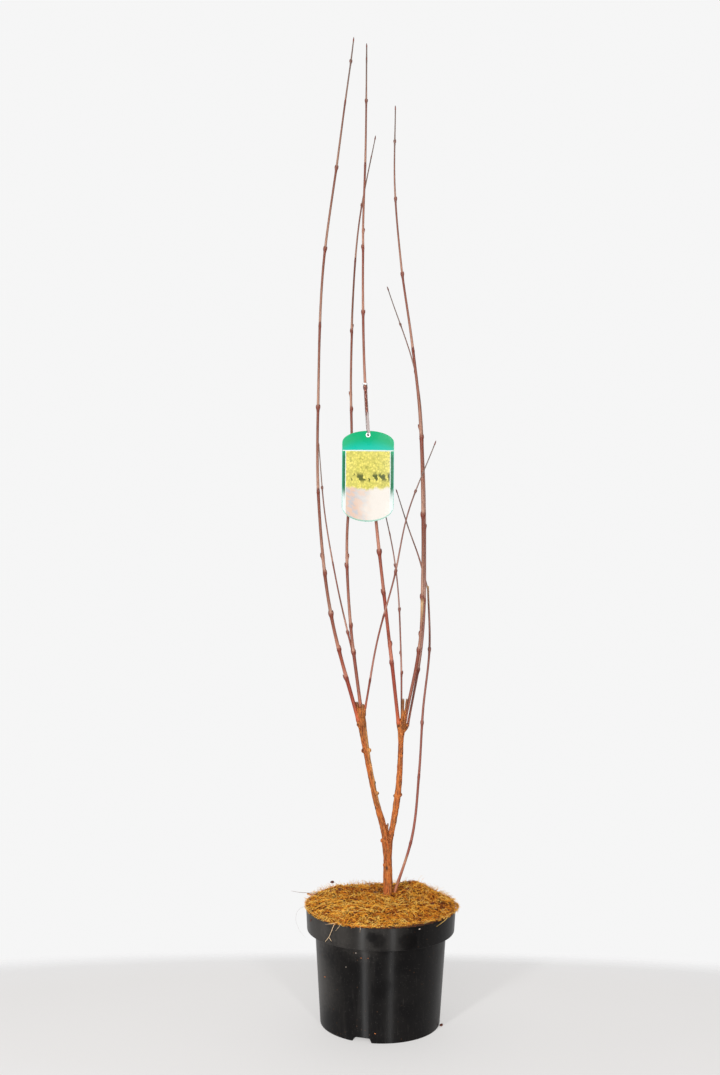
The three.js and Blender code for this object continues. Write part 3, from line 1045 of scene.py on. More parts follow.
@dataclass
class Pot:
    """Round pot: a tapered wall under a deeper collar, with notches at its foot."""

    height: float = 0.1407
    rim_radius: float = 0.092
    collar_foot_radius: float = 0.0905
    collar_depth: float = 0.0269
    wall_top_radius: float = 0.0806
    base_radius: float = 0.0734
    wall: float = 0.0016
    floor: float = 0.002
    sides: int = 128
    notch_count: int = 3
    notch_angle: float = -108.0
    notch_foot: float = 0.026
    notch_top: float = 0.019
    notch_height: float = 0.006
    notch_reach: float = 0.014
    # How far the block that cuts a notch starts below the floor
    notch_lift: float = 0.002

    @property
    def ledge(self) -> float:
        """Height of the collar's lower edge."""
        return self.height - self.collar_depth

    def outer_radius(self, height: float) -> float:
        """Finds how wide the pot is on its outside.

        Args:
            height: Height on the wall or on the collar.

        Returns:
            The radius there.
        """
        limits, radii = (0, self.ledge), (self.base_radius, self.wall_top_radius)
        if height >= self.ledge:
            limits, radii = (self.ledge, self.height), (self.collar_foot_radius, self.rim_radius)
        return float(np.interp(height, limits, radii))

    def profile(self) -> list[tuple[float, float]]:
        """Lists the rings of the pot, from the underside to the inner floor.

        Returns:
            Radius and height of each ring.
        """
        inner_ledge = self.ledge + self.wall
        outside = rounded([
            (self.base_radius - 0.003, 0.0),
            (self.base_radius, 0.0),
            (self.wall_top_radius, self.ledge),
            (self.collar_foot_radius, self.ledge),
            (self.rim_radius, self.height),
            (self.rim_radius - self.wall, self.height),
            (self.outer_radius(inner_ledge) - self.wall, inner_ledge),
        ], 0.0011)
        return outside + [
            (self.wall_top_radius - self.wall, inner_ledge),
            (self.base_radius - self.wall, self.floor),
        ]

    def notch_cutter(self, angle: float) -> Piece:
        """Shapes a block with sloping sides and soft upper edges, where one notch goes.

        Args:
            angle: Direction of the notch in degrees.

        Returns:
            The block.
        """
        cutter = start("notch_cutter", "cube", size=1)
        cutter.location = (self.base_radius, 0, (self.notch_height - self.notch_lift) / 2)
        cutter.scale = (2 * self.notch_reach, self.notch_foot, self.notch_height + self.notch_lift)
        place_in_mesh(cutter)
        places = places_of(cutter)
        top = places[:, 2] > self.notch_height / 2
        places[top, 1] *= self.notch_top / self.notch_foot
        move_to(cutter, places)
        modify(cutter, "BEVEL", width=0.0012, segments=4, limit_method="ANGLE")
        cutter.matrix_world = Matrix.Rotation(math.radians(angle), 4, "Z")
        return place_in_mesh(cutter)

    def build(self) -> None:
        """Builds and dresses the pot."""
        pot = turned("pot_shell", self.profile(), self.sides)
        for i in range(self.notch_count):
            cut(pot, self.notch_cutter(self.notch_angle + i * 360 / self.notch_count))
        face_outwards(pot, merge=1e-6)
        smooth(pot, 35)
        settle(pot, Slot.POT, "pot", wear=PotFinish().material())


@dataclass
class Mulch:
    """Domed mat of coconut fibre on the pot: felt below, dark as painted shade between the fibres, and
    thousands of curls on top.
    """

    pot: Pot
    lip_radius: float = 0.0914
    lip_height: float = 0.0015
    crown_height: float = 0.15
    lump: float = 0.0011
    lump_wavelength: float = 0.041
    felt_depth: float = 0.0016
    felt_sink: float = 0.0145
    felt_gap: float = 0.0019
    felt_rings: int = 26
    felt_sides: int = 96
    # How rough the felt is, and how many lumps it has in a metre
    felt_lump: float = 0.0009
    felt_lumps: float = 260
    hairs: int = 3200
    hair_girth: float = 0.00017
    # Mounds and hollows: place, change of height and radius
    mounds: Rows = (
        (0.046, 0.05, 0.004, 0.034),
        (0.05, 0.066, 0.007, 0.02),
        (-0.062, 0.05, 0.0034, 0.022),
        (-0.003, 0.031, -0.0034, 0.009),
        (0.02, 0.034, -0.002, 0.006),
        (-0.012, 0.07, -0.0022, 0.026),
        (-0.055, 0.045, 0.0014, 0.024),
        (0.04, -0.082, -0.0016, 0.026),
        (-0.05, -0.03, 0.0012, 0.035),
        (0.03, -0.05, 0.0012, 0.03),
    )
    # Places that are darker, or paler where the share is negative: place, share and radius. The dark
    # spots beside the trunk's foot are painted shade in its hollows
    shade_and_tint_spots: ClassVar[Rows] = (
        (-0.003, 0.031, 1.3, 0.01),
        (-0.005, 0.043, 0.6, 0.012),
        (0.0195, 0.034, 1.00, 0.007),
        (-0.0165, 0.045, 0.55, 0.011),
        (-0.0405, 0.04, 0.6, 0.012),
        (0.075, -0.018, 0.6, 0.013),
        (0.055, -0.044, 0.25, 0.02),
        (-0.058, -0.028, -0.4, 0.016),
        (0.088, 0.01, -0.4, 0.012),
        (-0.066, 0.05, 0.3, 0.012),
    )

    def surface(self, x: Array, y: Array) -> Array:
        """Finds the mat's upper side.

        Args:
            x: Places from side to side.
            y: Places from front to back.

        Returns:
            Its height at each place.
        """
        brow = self.pot.height + self.lip_height
        inward = np.clip(1 - (x ** 2 + y ** 2) / self.lip_radius ** 2, 0, 1)
        wave = 2 * math.pi / self.lump_wavelength
        broad = np.sin(wave * x + 1) * np.cos(wave * y)
        fine = 0.5 * np.sin(1.7 * wave * (x + y))
        height = brow + (self.crown_height - brow) * np.sqrt(inward)
        height = height + self.lump * np.minimum(1, 4 * inward) * (broad + fine)
        for mound_x, mound_y, lift, radius in self.mounds:
            gap = ((x - mound_x) ** 2 + (y - mound_y) ** 2) / radius ** 2
            height = height + lift * np.minimum(1, 3 * inward) * np.exp(-gap)
        return height

    def edge(self, turns: Array) -> Array:
        """Finds the mat's ragged outline.

        Args:
            turns: Directions in radians.

        Returns:
            Its radius in each direction.
        """
        lobes = 0.0009 * np.sin(5 * turns + 0.7) + 0.0006 * np.sin(11 * turns + 2)
        right = 0.003 * np.exp(-((turns + 0.15) / 0.45) ** 2)
        left = 0.002 * np.exp(-((np.abs(turns) - math.pi) / 0.4) ** 2)
        front_left = 0.0012 * np.exp(-((turns + 2.1) / 0.5) ** 2)
        front_right = 0.0042 * np.exp(-((turns + 1.12) / 0.4) ** 2)
        return self.lip_radius + lobes + right + left + front_left - front_right

    def felt(self) -> None:
        """Builds the dark felt that the curls lie on, whose darkness is painted shade in the gaps
        between them.
        """
        foot = self.pot.height - self.felt_sink
        brow_radius = self.lip_radius - 0.001
        profile = [(self.pot.outer_radius(foot) - self.felt_gap, foot),
                   (self.pot.rim_radius - self.felt_gap, self.pot.height + 0.0003),
                   (brow_radius, self.pot.height + 0.0004)]
        for i in range(self.felt_rings):
            radius = brow_radius * math.cos(i / self.felt_rings * math.pi / 2)
            profile.append((radius, self.crown_height))
        felt = turned("coir_shade_felt", profile, self.felt_sides)
        places = places_of(felt)
        on_top = places[:, 2] > self.crown_height - 1e-4
        x, y = places[on_top, 0], places[on_top, 1]
        scale = self.felt_lumps
        rough = np.array([noise.noise(Vector((a * scale, b * scale, 0.0))) for a, b in zip(x, y)])
        places[on_top, 2] = self.surface(x, y) - self.felt_depth + self.felt_lump * rough
        move_to(felt, places)
        smooth(felt, 60)
        # Near-black felt: painted shade in the gaps between the fibres
        finish = GroundFinish("coir_shade_felt", (0.03, 0.008, 0.002, 1), (0.16, 0.045, 0.006, 1), 420.0)
        settle(felt, Slot.COIR, "coir_mulch", wear=finish.material())

    def curls(self, rng: np.random.Generator, count: int, length: float, lift: float, tuft: int,
              curl: float) -> Array:
        """Routes of curled fibres that lie on the mat.

        Args:
            rng: Source of the draws.
            count: Number of tufts.
            length: Usual length of a fibre.
            lift: How far the middle of a fibre stands above the mat.
            tuft: Number of fibres that run side by side in one tuft.
            curl: How much the fibres curl.

        Returns:
            Points as an array of fibres, points and three numbers.
        """
        steps = 11
        run = np.linspace(0, 1, steps)
        turn = rng.uniform(0, 2 * math.pi, (count, 1))
        radius = self.lip_radius * np.sqrt(rng.uniform(0, 1, (count, 1)))
        swing = rng.uniform(0.2, 1.1, (count, 1)) * np.sin(
            run * rng.uniform(3, 9, (count, 1)) + rng.uniform(0, 6.3, (count, 1)))
        bend = rng.normal(0, 1.1, (count, 1)) * run
        heading = rng.uniform(0, 2 * math.pi, (count, 1)) + curl * (swing + bend)
        step = length * rng.uniform(0.5, 1.5, (count, 1)) / (steps - 1)
        x = radius * np.cos(turn) + np.cumsum(step * np.cos(heading), 1)
        y = radius * np.sin(turn) + np.cumsum(step * np.sin(heading), 1)
        out = np.hypot(x, y)
        limit = self.edge(np.arctan2(y, x))
        pull = np.minimum(1, limit / np.maximum(out, 1e-6))
        x, y = x * pull, y * pull
        arch = np.sin(math.pi * run) * rng.uniform(0.1, 1.0, (count, 1))
        ripple = 0.35 * np.sin(run * rng.uniform(6, 14, (count, 1)) + rng.uniform(0, 6.3, (count, 1)))
        sink = rng.uniform(-0.9, 0.1, (count, 1)) * lift
        z = self.surface(x, y) + sink + lift * (arch + ripple)
        routes = np.stack([x, y, z], -1)
        routes = np.repeat(routes, tuft, axis=0)
        spread = rng.normal(0, 1, (len(routes), 1, 3)) * (0.0003, 0.0003, 0.00018)
        fray = rng.normal(0, 1, (len(routes), 1, 3)) * (0.0008, 0.0008, 0.0004) * run[:, None] ** 2
        return routes + (spread + fray) * (tuft > 1)

    def tangle(self) -> None:
        """Builds the curls in layers, each fibre in one plain tint of its layer."""
        rng = np.random.default_rng(SEED)
        tints = {
            "umber": (0.1, 0.024, 0.005, 1),
            "russet": (0.36, 0.095, 0.009, 1),
            "orange": (0.68, 0.23, 0.016, 1),
            "amber": (0.76, 0.32, 0.026, 1),
            "golden": (0.84, 0.42, 0.05, 1),
            "straw": (0.88, 0.56, 0.12, 1),
        }
        wear = {name: FibreFinish(f"fibre_{name}", tint).material() for name, tint in tints.items()}
        # The lower layers wear darker tints: partly the fibres' own tones, partly painted shade deep in
        # the mat
        layers = (
            ("lower_curls", 2000, 1, 0.022, 0.0008, 0.00034, 1.0, "umber russet umber russet"),
            ("middle_curls", 1550, 2, 0.012, 0.002, 0.00023, 0.9, "russet orange amber golden"),
            ("upper_curls", 1500, 2, 0.013, 0.0028, 0.0002, 0.8, "orange amber golden straw"),
            ("long_fibres", 110, 1, 0.03, 0.0034, 0.00025, 0.4, "amber golden straw"),
        )
        for name, count, tuft, length, lift, radius, curl, names in layers:
            chosen = [wear[tint] for tint in names.split()]
            routes = self.curls(rng, count, length, lift, tuft, curl)
            girths = rng.uniform(0.6, 1.25, (len(routes), 1)) * np.linspace(1.1, 0.7, routes.shape[1])
            lot = np.repeat(self._tint_lot(rng, routes[::tuft, 5], len(chosen)), tuft)
            stock = Stock()
            stock.fibres(routes, radius * girths, lot)
            settle(stock.piece(f"coir_{name}", *chosen), Slot.COIR)

    def _tint_lot(self, rng: np.random.Generator, middles: Array, count: int) -> Array:
        """Deals a tint to each fibre, so that like tints lie in drifts.

        Args:
            rng: Source of the draws.
            middles: Middle of each fibre.
            count: Number of tints.

        Returns:
            Number of each fibre's tint.
        """
        drift = np.array([noise.noise(Vector((x * 55, y * 55, 3.0))) for x, y, _ in middles])
        share = 0.6 + 0.7 * drift + rng.normal(0, 0.32, len(middles))
        # Positive spots darken the tints, beside the trunk's foot as painted shade in its hollows;
        # negative ones make them paler
        for x, y, gloom, radius in self.shade_and_tint_spots:
            gap = ((middles[:, 0] - x) ** 2 + (middles[:, 1] - y) ** 2) / radius ** 2
            share = share - gloom * np.exp(-gap)
        return (np.clip(share, 0, 0.999) * count).astype(int)

    def fringe(self) -> None:
        """Builds the short hairs that stand up all over the mat and out of its edge."""
        rng = np.random.default_rng(SEED + 1)
        count, steps = self.hairs, 6
        run = np.linspace(0, 1, steps)
        turn = rng.uniform(-math.pi, math.pi, count)
        inner = rng.uniform(0, 1, count) < 0.45
        within = self.lip_radius * np.sqrt(rng.uniform(0, 1, count))
        radius = np.where(inner, within, self.edge(turn) - 0.002)
        outward = turn + rng.normal(0, 0.9, count)
        at_back = np.clip(np.sin(turn) * 2, 0, 1)
        length = rng.uniform(0.003, 0.0095, count) * (0.6 + 0.4 * at_back)
        climb = rng.uniform(-0.25, 0.75, count) + at_back * rng.uniform(0.0, 0.6, count)
        sway = rng.normal(0, 0.9, count)[:, None] * run ** 2
        heading = outward[:, None] + sway
        foot_x, foot_y = radius * np.cos(turn), radius * np.sin(turn)
        x = foot_x[:, None] + np.cumsum(length[:, None] / steps * np.cos(heading), 1)
        y = foot_y[:, None] + np.cumsum(length[:, None] / steps * np.sin(heading), 1)
        foot = self.surface(foot_x, foot_y) - 0.0008
        z = foot[:, None] + (length * climb)[:, None] * run * (1.2 - 0.5 * run)
        girths = np.full((count, 1), self.hair_girth) * np.linspace(1.1, 0.5, steps)
        stock = Stock()
        stock.fibres(np.stack([x, y, z], -1), girths, rng.integers(0, 3, count))
        wear = (FibreFinish("hair_golden", (0.78, 0.38, 0.05, 1)).material(),
                FibreFinish("hair_orange", (0.62, 0.22, 0.02, 1)).material(),
                FibreFinish("hair_straw", (0.86, 0.6, 0.18, 1)).material())
        settle(stock.piece("coir_hairs", *wear), Slot.COIR)

    def build(self) -> None:
        """Builds and dresses the mat."""
        self.felt()
        self.tangle()
        self.fringe()


@dataclass(frozen=True)
class Strand:
    """A loose fibre: the places that it passes and its radius at its foot."""

    places: Rows
    radius: float
    slot: int = 0


@dataclass
class Litter:
    """Loose strands over the rim, bark chips on the mat and crumbs on the pot."""

    pot: Pot
    mulch: Mulch
    chip_count: int = 44
    chip_reach: float = 0.088
    # Place of each larger piece of bark on the mat
    barks: Rows = (
        (-0.038, 0.048), (-0.05, 0.034), (-0.024, 0.04), (-0.064, 0.03),
        (-0.006, 0.034), (0.062, -0.018), (0.034, 0.034), (-0.03, 0.066),
    )
    # Angle, height, size and tint of each crumb on the pot
    crumbs: Rows = (
        (-156.6, 0.1345, 0.0016, 0), (-157.8, 0.1325, 0.0012, 0), (-112.2, 0.107, 0.001, 2),
        (-107.6, 0.1018, 0.0013, 1), (-101.5, 0.102, 0.0011, 1), (-149.9, 0.0665, 0.0012, 1),
        (-95.4, 0.0125, 0.0013, 1), (-61.4, 0.1377, 0.0012, 2), (-122.0, 0.088, 0.0009, 2),
    )

    def on_pot(self, *stops: Place) -> tuple[Place, ...]:
        """Finds places on the pot's outside.

        Args:
            stops: Angle in degrees, height and distance off the pot of each place.

        Returns:
            The places.
        """
        found = []
        for angle, height, off in stops:
            radius = self.pot.outer_radius(min(height, self.pot.height)) + off
            turn = math.radians(angle)
            found.append((radius * math.cos(turn), radius * math.sin(turn), height))
        return tuple(found)

    def strands(self) -> list[Strand]:
        """Lists the strands that hang over the rim or reach out past it.

        Returns:
            The strands.
        """
        on = self.on_pot
        return [
            Strand(on((-123, 0.1425, -0.008), (-125.7, 0.1432, -0.001), (-126.7, 0.1415, 0.001),
                      (-129, 0.134, 0.001), (-130.9, 0.1274, 0.001), (-132.7, 0.122, 0.0015),
                      (-136, 0.117, 0.003), (-138, 0.1135, 0.005)), 0.00055),
            Strand(on((-132.2, 0.1225, 0.001), (-130.8, 0.1208, 0.0012), (-129.6, 0.1195, 0.0014)),
                   0.0004),
            Strand(on((-123.5, 0.1425, -0.001), (-127, 0.1415, 0.002), (-131, 0.1398, 0.0025),
                      (-134.7, 0.1385, 0.003)), 0.0004),
            Strand(on((-120.5, 0.1425, -0.004), (-121.3, 0.1425, 0.001), (-122.6, 0.139, 0.001),
                      (-124.5, 0.1355, 0.001), (-126.1, 0.1325, 0.001)), 0.00035),
            Strand(on((-106, 0.1425, -0.004), (-106, 0.1425, 0.0008), (-105.8, 0.1395, 0.001),
                      (-106, 0.1365, 0.0012)), 0.00032),
            Strand(on((-28, 0.1425, -0.004), (-31.7, 0.1425, 0.001), (-35.5, 0.1402, 0.001),
                      (-40.5, 0.1385, 0.001), (-45.6, 0.1366, 0.001)), 0.0005, 1),
            Strand(((-0.07, 0.04, 0.145), (-0.08, 0.042, 0.145), (-0.09, 0.043, 0.1446),
                    (-0.102, 0.042, 0.1455), (-0.1125, 0.041, 0.1476)), 0.00055, 2),
            Strand(((-0.092, 0.041, 0.144), (-0.087, 0.035, 0.1452), (-0.081, 0.029, 0.146)), 0.001, 3),
            Strand(((-0.052, 0.066, 0.144), (-0.055, 0.071, 0.148), (-0.058, 0.074, 0.15),
                    (-0.0615, 0.075, 0.1505)), 0.00022, 2),
            Strand(((-0.085, -0.02, 0.144), (-0.096, -0.022, 0.146), (-0.103, -0.022, 0.139),
                    (-0.104, -0.021, 0.128), (-0.099, -0.02, 0.116), (-0.092, -0.018, 0.107)),
                   0.00013, 2),
            Strand(((0.02, -0.064, 0.1465), (0.024, -0.071, 0.1475), (0.029, -0.078, 0.146),
                    (0.033, -0.084, 0.144)), 0.00045, 1),
            Strand(((-0.06, -0.045, 0.148), (-0.045, -0.052, 0.1495), (-0.028, -0.053, 0.15),
                    (-0.012, -0.055, 0.149)), 0.0004, 1),
        ]

    def build_strands(self) -> None:
        """Builds the loose strands as smooth tapering tubes."""
        stock = Stock()
        run = np.linspace(0, 1, 26)
        kernel = np.array([1, 2, 3, 2, 1]) / 9
        for strand in self.strands():
            points = np.array(strand.places)
            even = np.linspace(0, 1, len(points))
            route = np.column_stack([np.interp(run, even, points[:, k]) for k in range(3)])
            padded = np.pad(route, ((2, 2), (0, 0)), "edge")
            softened = [np.convolve(padded[:, k], kernel, "valid") for k in range(3)]
            route[1:-1] = np.column_stack(softened)[1:-1]
            girths = strand.radius * np.linspace(1.0, 0.35, len(run))
            stock.add(*tubes(route[None], girths[None], 6, Vector((0.1, 0.2, 1))), slot=strand.slot)
        wear = (FibreFinish("root_strand", (0.62, 0.44, 0.27, 1)).material(),
                FibreFinish("golden_strand", (0.72, 0.45, 0.12, 1)).material(),
                FibreFinish("grey_hair", (0.3, 0.25, 0.22, 1)).material(),
                FibreFinish("bark_strip", (0.42, 0.13, 0.04, 1)).material())
        settle(stock.piece("loose_strands", *wear), Slot.COIR)

    def build_chips(self) -> None:
        """Builds chips on the mat and crumbs on the pot, from one faceted chip."""
        rng = np.random.default_rng(SEED + 2)
        shape, faces = mould(start("chip_mould", "ico_sphere", subdivisions=2, radius=1))
        turns = rng.uniform(0, 2 * math.pi, self.chip_count)
        radii = self.chip_reach * np.sqrt(rng.uniform(0.02, 1, self.chip_count))
        x, y = radii * np.cos(turns), radii * np.sin(turns)
        spots = [(a, b, c + 0.0008, 0.0016, 0) for a, b, c in zip(x, y, self.mulch.surface(x, y))]
        # One stands out behind the mat on its own hair
        spots.append((-0.0615, 0.075, 0.1502, 0.0036, 0))
        barks = np.array(self.barks)
        heights = self.mulch.surface(barks[:, 0], barks[:, 1])
        spots += [(a, b, c + 0.0012, 0.0032, 0) for (a, b), c in zip(barks, heights)]
        for angle, height, size, slot in self.crumbs:
            spots.append((*self.on_pot((angle, height, 0.0))[0], size, slot))
        # One lies on the ground against the pot
        spots.append((0.0744, -0.0172, 0.0017, 0.0032, 0))
        stock = Stock()
        for a, b, c, size, slot in spots:
            squash = np.array([1.0, rng.uniform(0.45, 0.8), rng.uniform(0.25, 0.5)]) * size
            turn = Matrix.Rotation(rng.uniform(0, 6.3), 3, "Z")
            turn = turn @ Matrix.Rotation(rng.uniform(-0.5, 0.5), 3, "X")
            lumps = 1 + rng.normal(0, 0.12, (len(shape), 1))
            stock.add((shape * lumps * squash) @ np.array(turn).T + (a, b, c), faces, slot=slot)
        wear = (FibreFinish("bark_chip", (0.1, 0.026, 0.015, 1), 0.75).material(),
                FibreFinish("orange_crumb", (0.45, 0.15, 0.05, 1), 0.8).material(),
                FibreFinish("pale_crumb", (0.62, 0.52, 0.44, 1), 0.8).material())
        settle(stock.piece("chips_and_crumbs", *wear), Slot.COIR)

    def build(self) -> None:
        """Builds and dresses the litter."""
        self.build_strands()
        self.build_chips()


@dataclass
class Timber:
    """Trunk and boughs under one bark, with knobby heads where shoots were cut back."""

    trunk: Limb = Limb(
        0.1263, 0.219,
        (0.0093, 0.0091, 0.0088, 0.0084, 0.0076),
        (0.02, 0.02, 0.02, 0.02, 0.02),
        (0.0067, 0.0059, 0.0056, 0.0049, 0.0069))
    left_bough: Limb = Limb(
        0.206, 0.385,
        (0.0084, 0.0024, -0.0062, -0.0126, -0.0184, -0.0234, -0.0277),
        (0.02, 0.018, 0.0155, 0.013, 0.0105, 0.008, 0.006),
        (0.0042, 0.004, 0.0034, 0.0034, 0.0036, 0.0046, 0.0056))
    right_bough: Limb = Limb(
        0.206, 0.365,
        (0.0078, 0.0141, 0.0184, 0.0217, 0.0232, 0.024, 0.0246),
        (0.02, 0.022, 0.0235, 0.025, 0.026, 0.027, 0.027),
        (0.0042, 0.0034, 0.0038, 0.0036, 0.0032, 0.003, 0.0052))
    # Short dead stubs that rise from the heads and from the crotch
    stubs: tuple[Limb, ...] = (
        Limb(0.222, 0.239, (0.008, 0.0082), (0.019, 0.0186), (0.0013, 0.0008)),
        Limb(0.378, 0.3915, (-0.0304, -0.0319), (0.007, 0.006), (0.0021, 0.0018)),
        Limb(0.378, 0.3895, (-0.0242, -0.0243), (0.003, 0.0015), (0.0022, 0.0019)),
        Limb(0.36, 0.394, (0.0252, 0.0263), (0.023, 0.021), (0.0017, 0.0014)),
        Limb(0.36, 0.394, (0.0274, 0.0309), (0.025, 0.022), (0.0012, 0.0009)),
    )
    # Middle and radius of each rounded swelling, on the trunk, then the left and right bough
    knobs: Rows = (
        (0.0088, 0.0197, 0.183, 0.0056), (0.0046, 0.017, 0.1875, 0.0022),
        (0.0012, 0.0182, 0.2176, 0.0021), (0.014, 0.0214, 0.2245, 0.0018),
        (-0.0262, 0.006, 0.377, 0.0062), (-0.0245, 0.007, 0.364, 0.0052),
        (-0.0232, 0.003, 0.381, 0.0032), (-0.029, 0.004, 0.364, 0.0026),
        (-0.0193, 0.0098, 0.3305, 0.0042), (-0.0151, 0.0098, 0.3314, 0.0022),
        (-0.0234, 0.0098, 0.3306, 0.0023), (-0.009, 0.0128, 0.2905, 0.0018),
        (-0.0082, 0.0142, 0.2765, 0.0037), (-0.0048, 0.0142, 0.2774, 0.0019),
        (-0.0106, 0.0142, 0.2757, 0.0016), (-0.0064, 0.0156, 0.259, 0.002),
        (0.025, 0.027, 0.362, 0.0056), (0.03, 0.029, 0.359, 0.0032),
        (0.0208, 0.0252, 0.362, 0.0026), (0.0206, 0.0246, 0.273, 0.0042),
        (0.0166, 0.0246, 0.2722, 0.0017), (0.024, 0.0246, 0.2735, 0.002),
        (0.0236, 0.0262, 0.325, 0.0034), (0.0256, 0.0262, 0.3255, 0.0017),
    )
    # Middle and radius of each dark scar
    scars: Rows = (
        (0.0072, 0.0142, 0.1846, 0.002), (-0.0076, 0.0115, 0.2908, 0.0018),
        (-0.0078, 0.0138, 0.2592, 0.0018), (0.027, 0.024, 0.3255, 0.002),
        (0.0152, 0.0238, 0.2722, 0.0013), (0.0205, 0.0215, 0.36, 0.0016),
        (0.0312, 0.0262, 0.3572, 0.0017), (-0.03, 0.0016, 0.364, 0.0014),
        (0.0092, 0.015, 0.216, 0.0013), (0.0152, 0.02, 0.2243, 0.0013),
        (-0.0035, 0.013, 0.2772, 0.0012), (-0.0236, 0.008, 0.331, 0.0013),
    )
    # Foot, top and radius of each dark groove between shoots that have grown together
    grooves: tuple[tuple[tuple, tuple, float], ...] = (
        ((-0.0226, 0.0042, 0.34), (-0.0262, 0.0002, 0.386), 0.0009),
        ((-0.019, 0.006, 0.335), (-0.0236, 0.001, 0.384), 0.0007),
        ((-0.0268, 0.004, 0.356), (-0.0294, 0.001, 0.384), 0.0008),
        ((0.0246, 0.0215, 0.352), (0.0262, 0.0205, 0.372), 0.0008),
        ((0.029, 0.0235, 0.354), (0.0296, 0.0225, 0.368), 0.0008),
    )
    left_head: tuple[float, float] = (0.352, 0.372)
    right_head: tuple[float, float] = (0.346, 0.36)
    step: float = 0.001
    voxel: float = 0.00044
    skin: float = 0.00025
    lumps: float = 0.0003
    furrows: float = 0.00026
    # How often lumps, furrows and ridges change in a metre, the last two across and along
    lump_scale: float = 190
    furrow_scale: tuple[float, float] = (850, 85)
    ridge_scale: tuple[float, float] = (1500, 260)
    # How far apart the grain of one limb starts from that of the next
    grain_gap: float = 0.3

    @property
    def limbs(self) -> tuple[Limb, Limb, Limb]:
        """The three limbs that the bark's grain follows."""
        return self.trunk, self.left_bough, self.right_bough

    def _sleeves(self, stock: Stock, shoots: tuple[Shoot, ...]) -> None:
        """Adds the flared collar of bark round the foot of each shoot that leaves a head.

        Args:
            stock: Where the collars go.
            shoots: The shoots.
        """
        rise = np.linspace(0, 1, 14)
        share = np.linspace(0, 1, 12, endpoint=False)[:, None]
        for shoot in shoots:
            limb = shoot.limb
            bough = self.right_bough if limb.across[0] > 0 else self.left_bough
            low, _ = bough.at(limb.foot - shoot.merge)
            upper = limb.centres(limb.foot + shoot.sleeve * rise)
            lower = low + (upper[:1] - low) * (share ** (0.7, 0.7, 1.0))
            above = limb.radii(limb.foot + shoot.sleeve * rise)
            above = above * (1.12 - 0.14 * rise) - 0.0006 * rise ** 4
            below = np.linspace(0.8, 1.12, 12, endpoint=False) * limb.girth[0] + 0.0002
            route = np.vstack([lower, upper])
            radii = np.concatenate([below, above])
            stock.add(*tubes(route[None], radii[None], 16, RIGHT))

    def _nearest(self, places: Array) -> tuple[Array, Array]:
        """Finds the nearest limb of each place.

        Args:
            places: The places, one row each.

        Returns:
            Offset of each place from that limb's centre line, and the limb's number.
        """
        offsets = []
        gaps = []
        for limb in self.limbs:
            heights = np.clip(places[:, 2], limb.foot, limb.top)
            offset = places - limb.centres(heights)
            offsets.append(offset)
            gaps.append(np.linalg.norm(offset, axis=1) - limb.radii(heights))
        chosen = np.argmin(gaps, axis=0)
        return np.stack(offsets)[chosen, np.arange(len(places))], chosen

    def _relief(self, bark: Piece) -> Array:
        """Raises lumps and cuts lengthwise furrows.

        Args:
            bark: The skin of bark.

        Returns:
            Place of each vertex in the grain, which runs along the limbs.
        """
        places = places_of(bark)
        flat = np.empty(len(places) * 3)
        bark.data.vertices.foreach_get("normal", flat)
        outward = flat.reshape(-1, 3)
        offset, chosen = self._nearest(places)
        grain = np.column_stack([offset[:, :2], places[:, 2]]) + chosen[:, None] * self.grain_gap
        lift = np.empty(len(places))
        (wide, tall), (ridge_wide, ridge_tall) = self.furrow_scale, self.ridge_scale
        for i, (spot, (a, b, c)) in enumerate(zip(places, grain)):
            lump = noise.noise(Vector(spot * self.lump_scale))
            furrow = noise.noise(Vector((a * wide, b * wide, c * tall)))
            ridge = noise.noise(Vector((a * ridge_wide, b * ridge_wide, c * ridge_tall)))
            lift[i] = self.lumps * lump - self.furrows * (abs(furrow) * 1.6 + ridge * 0.6 - 0.4)
        move_to(bark, places + outward * lift[:, None])
        return grain

    def _marks(self, bark: Piece, grain: Array) -> None:
        """Stores where the heads, the tan stripe, the painted shade round the crotch, the cut tops and
        the scars are; the tan stripe is partly the bark's tone and partly a painted highlight.

        Args:
            bark: The skin of bark.
            grain: Place of each vertex in the grain.
        """
        places = places_of(bark)
        _, chosen = self._nearest(places)
        height = places[:, 2]
        left = np.interp(height, self.left_head, (0, 1)) * (chosen == 1)
        right = np.interp(height, self.right_head, (0, 1)) * (chosen == 2)
        # Paler tan on the left bough's right side: partly bark tone, partly a painted highlight
        tan_highlight = np.interp(grain[:, 0] - self.grain_gap, (0.0008, 0.0024), (0, 1)) * (chosen == 1)
        tan_highlight = tan_highlight * np.interp(height, (0.25, 0.27, 0.35, 0.37), (0, 1, 1, 0))
        cut = np.zeros(len(places))
        grey = np.zeros(len(places))
        for stub in self.stubs:
            end, _ = stub.at(stub.top)
            near = np.linalg.norm(places - end, axis=1)
            cut = np.maximum(cut, np.interp(near, (0.0014, 0.0024), (1, 0)))
            level = np.clip(height, stub.foot, stub.top)
            close = np.linalg.norm(places - stub.centres(level), axis=1) - stub.radii(level)
            rise = np.interp(stub.shares(height), (0.4, 0.65), (0, 1))
            grey = np.maximum(grey, np.interp(close, (0.0004, 0.001), (1, 0)) * rise)
        scar = np.zeros(len(places))
        for x, y, z, radius in self.scars:
            gap = places - (x, y, z)
            ragged = np.linalg.norm(gap * (1, 1, 0.7), axis=1) / radius
            scar = np.maximum(scar, np.interp(ragged, (0.55, 1.2), (0.85, 0)))
        for foot, top, radius in self.grooves:
            line = np.subtract(top, foot)
            along = np.clip((places - foot) @ line / (line @ line), 0, 1)
            beside = (places - foot - along[:, None] * line) * (1, 0.4, 1)
            gap = np.linalg.norm(beside, axis=1) / radius
            scar = np.maximum(scar, np.interp(gap, (0.5, 1.4), (0.45, 0)))
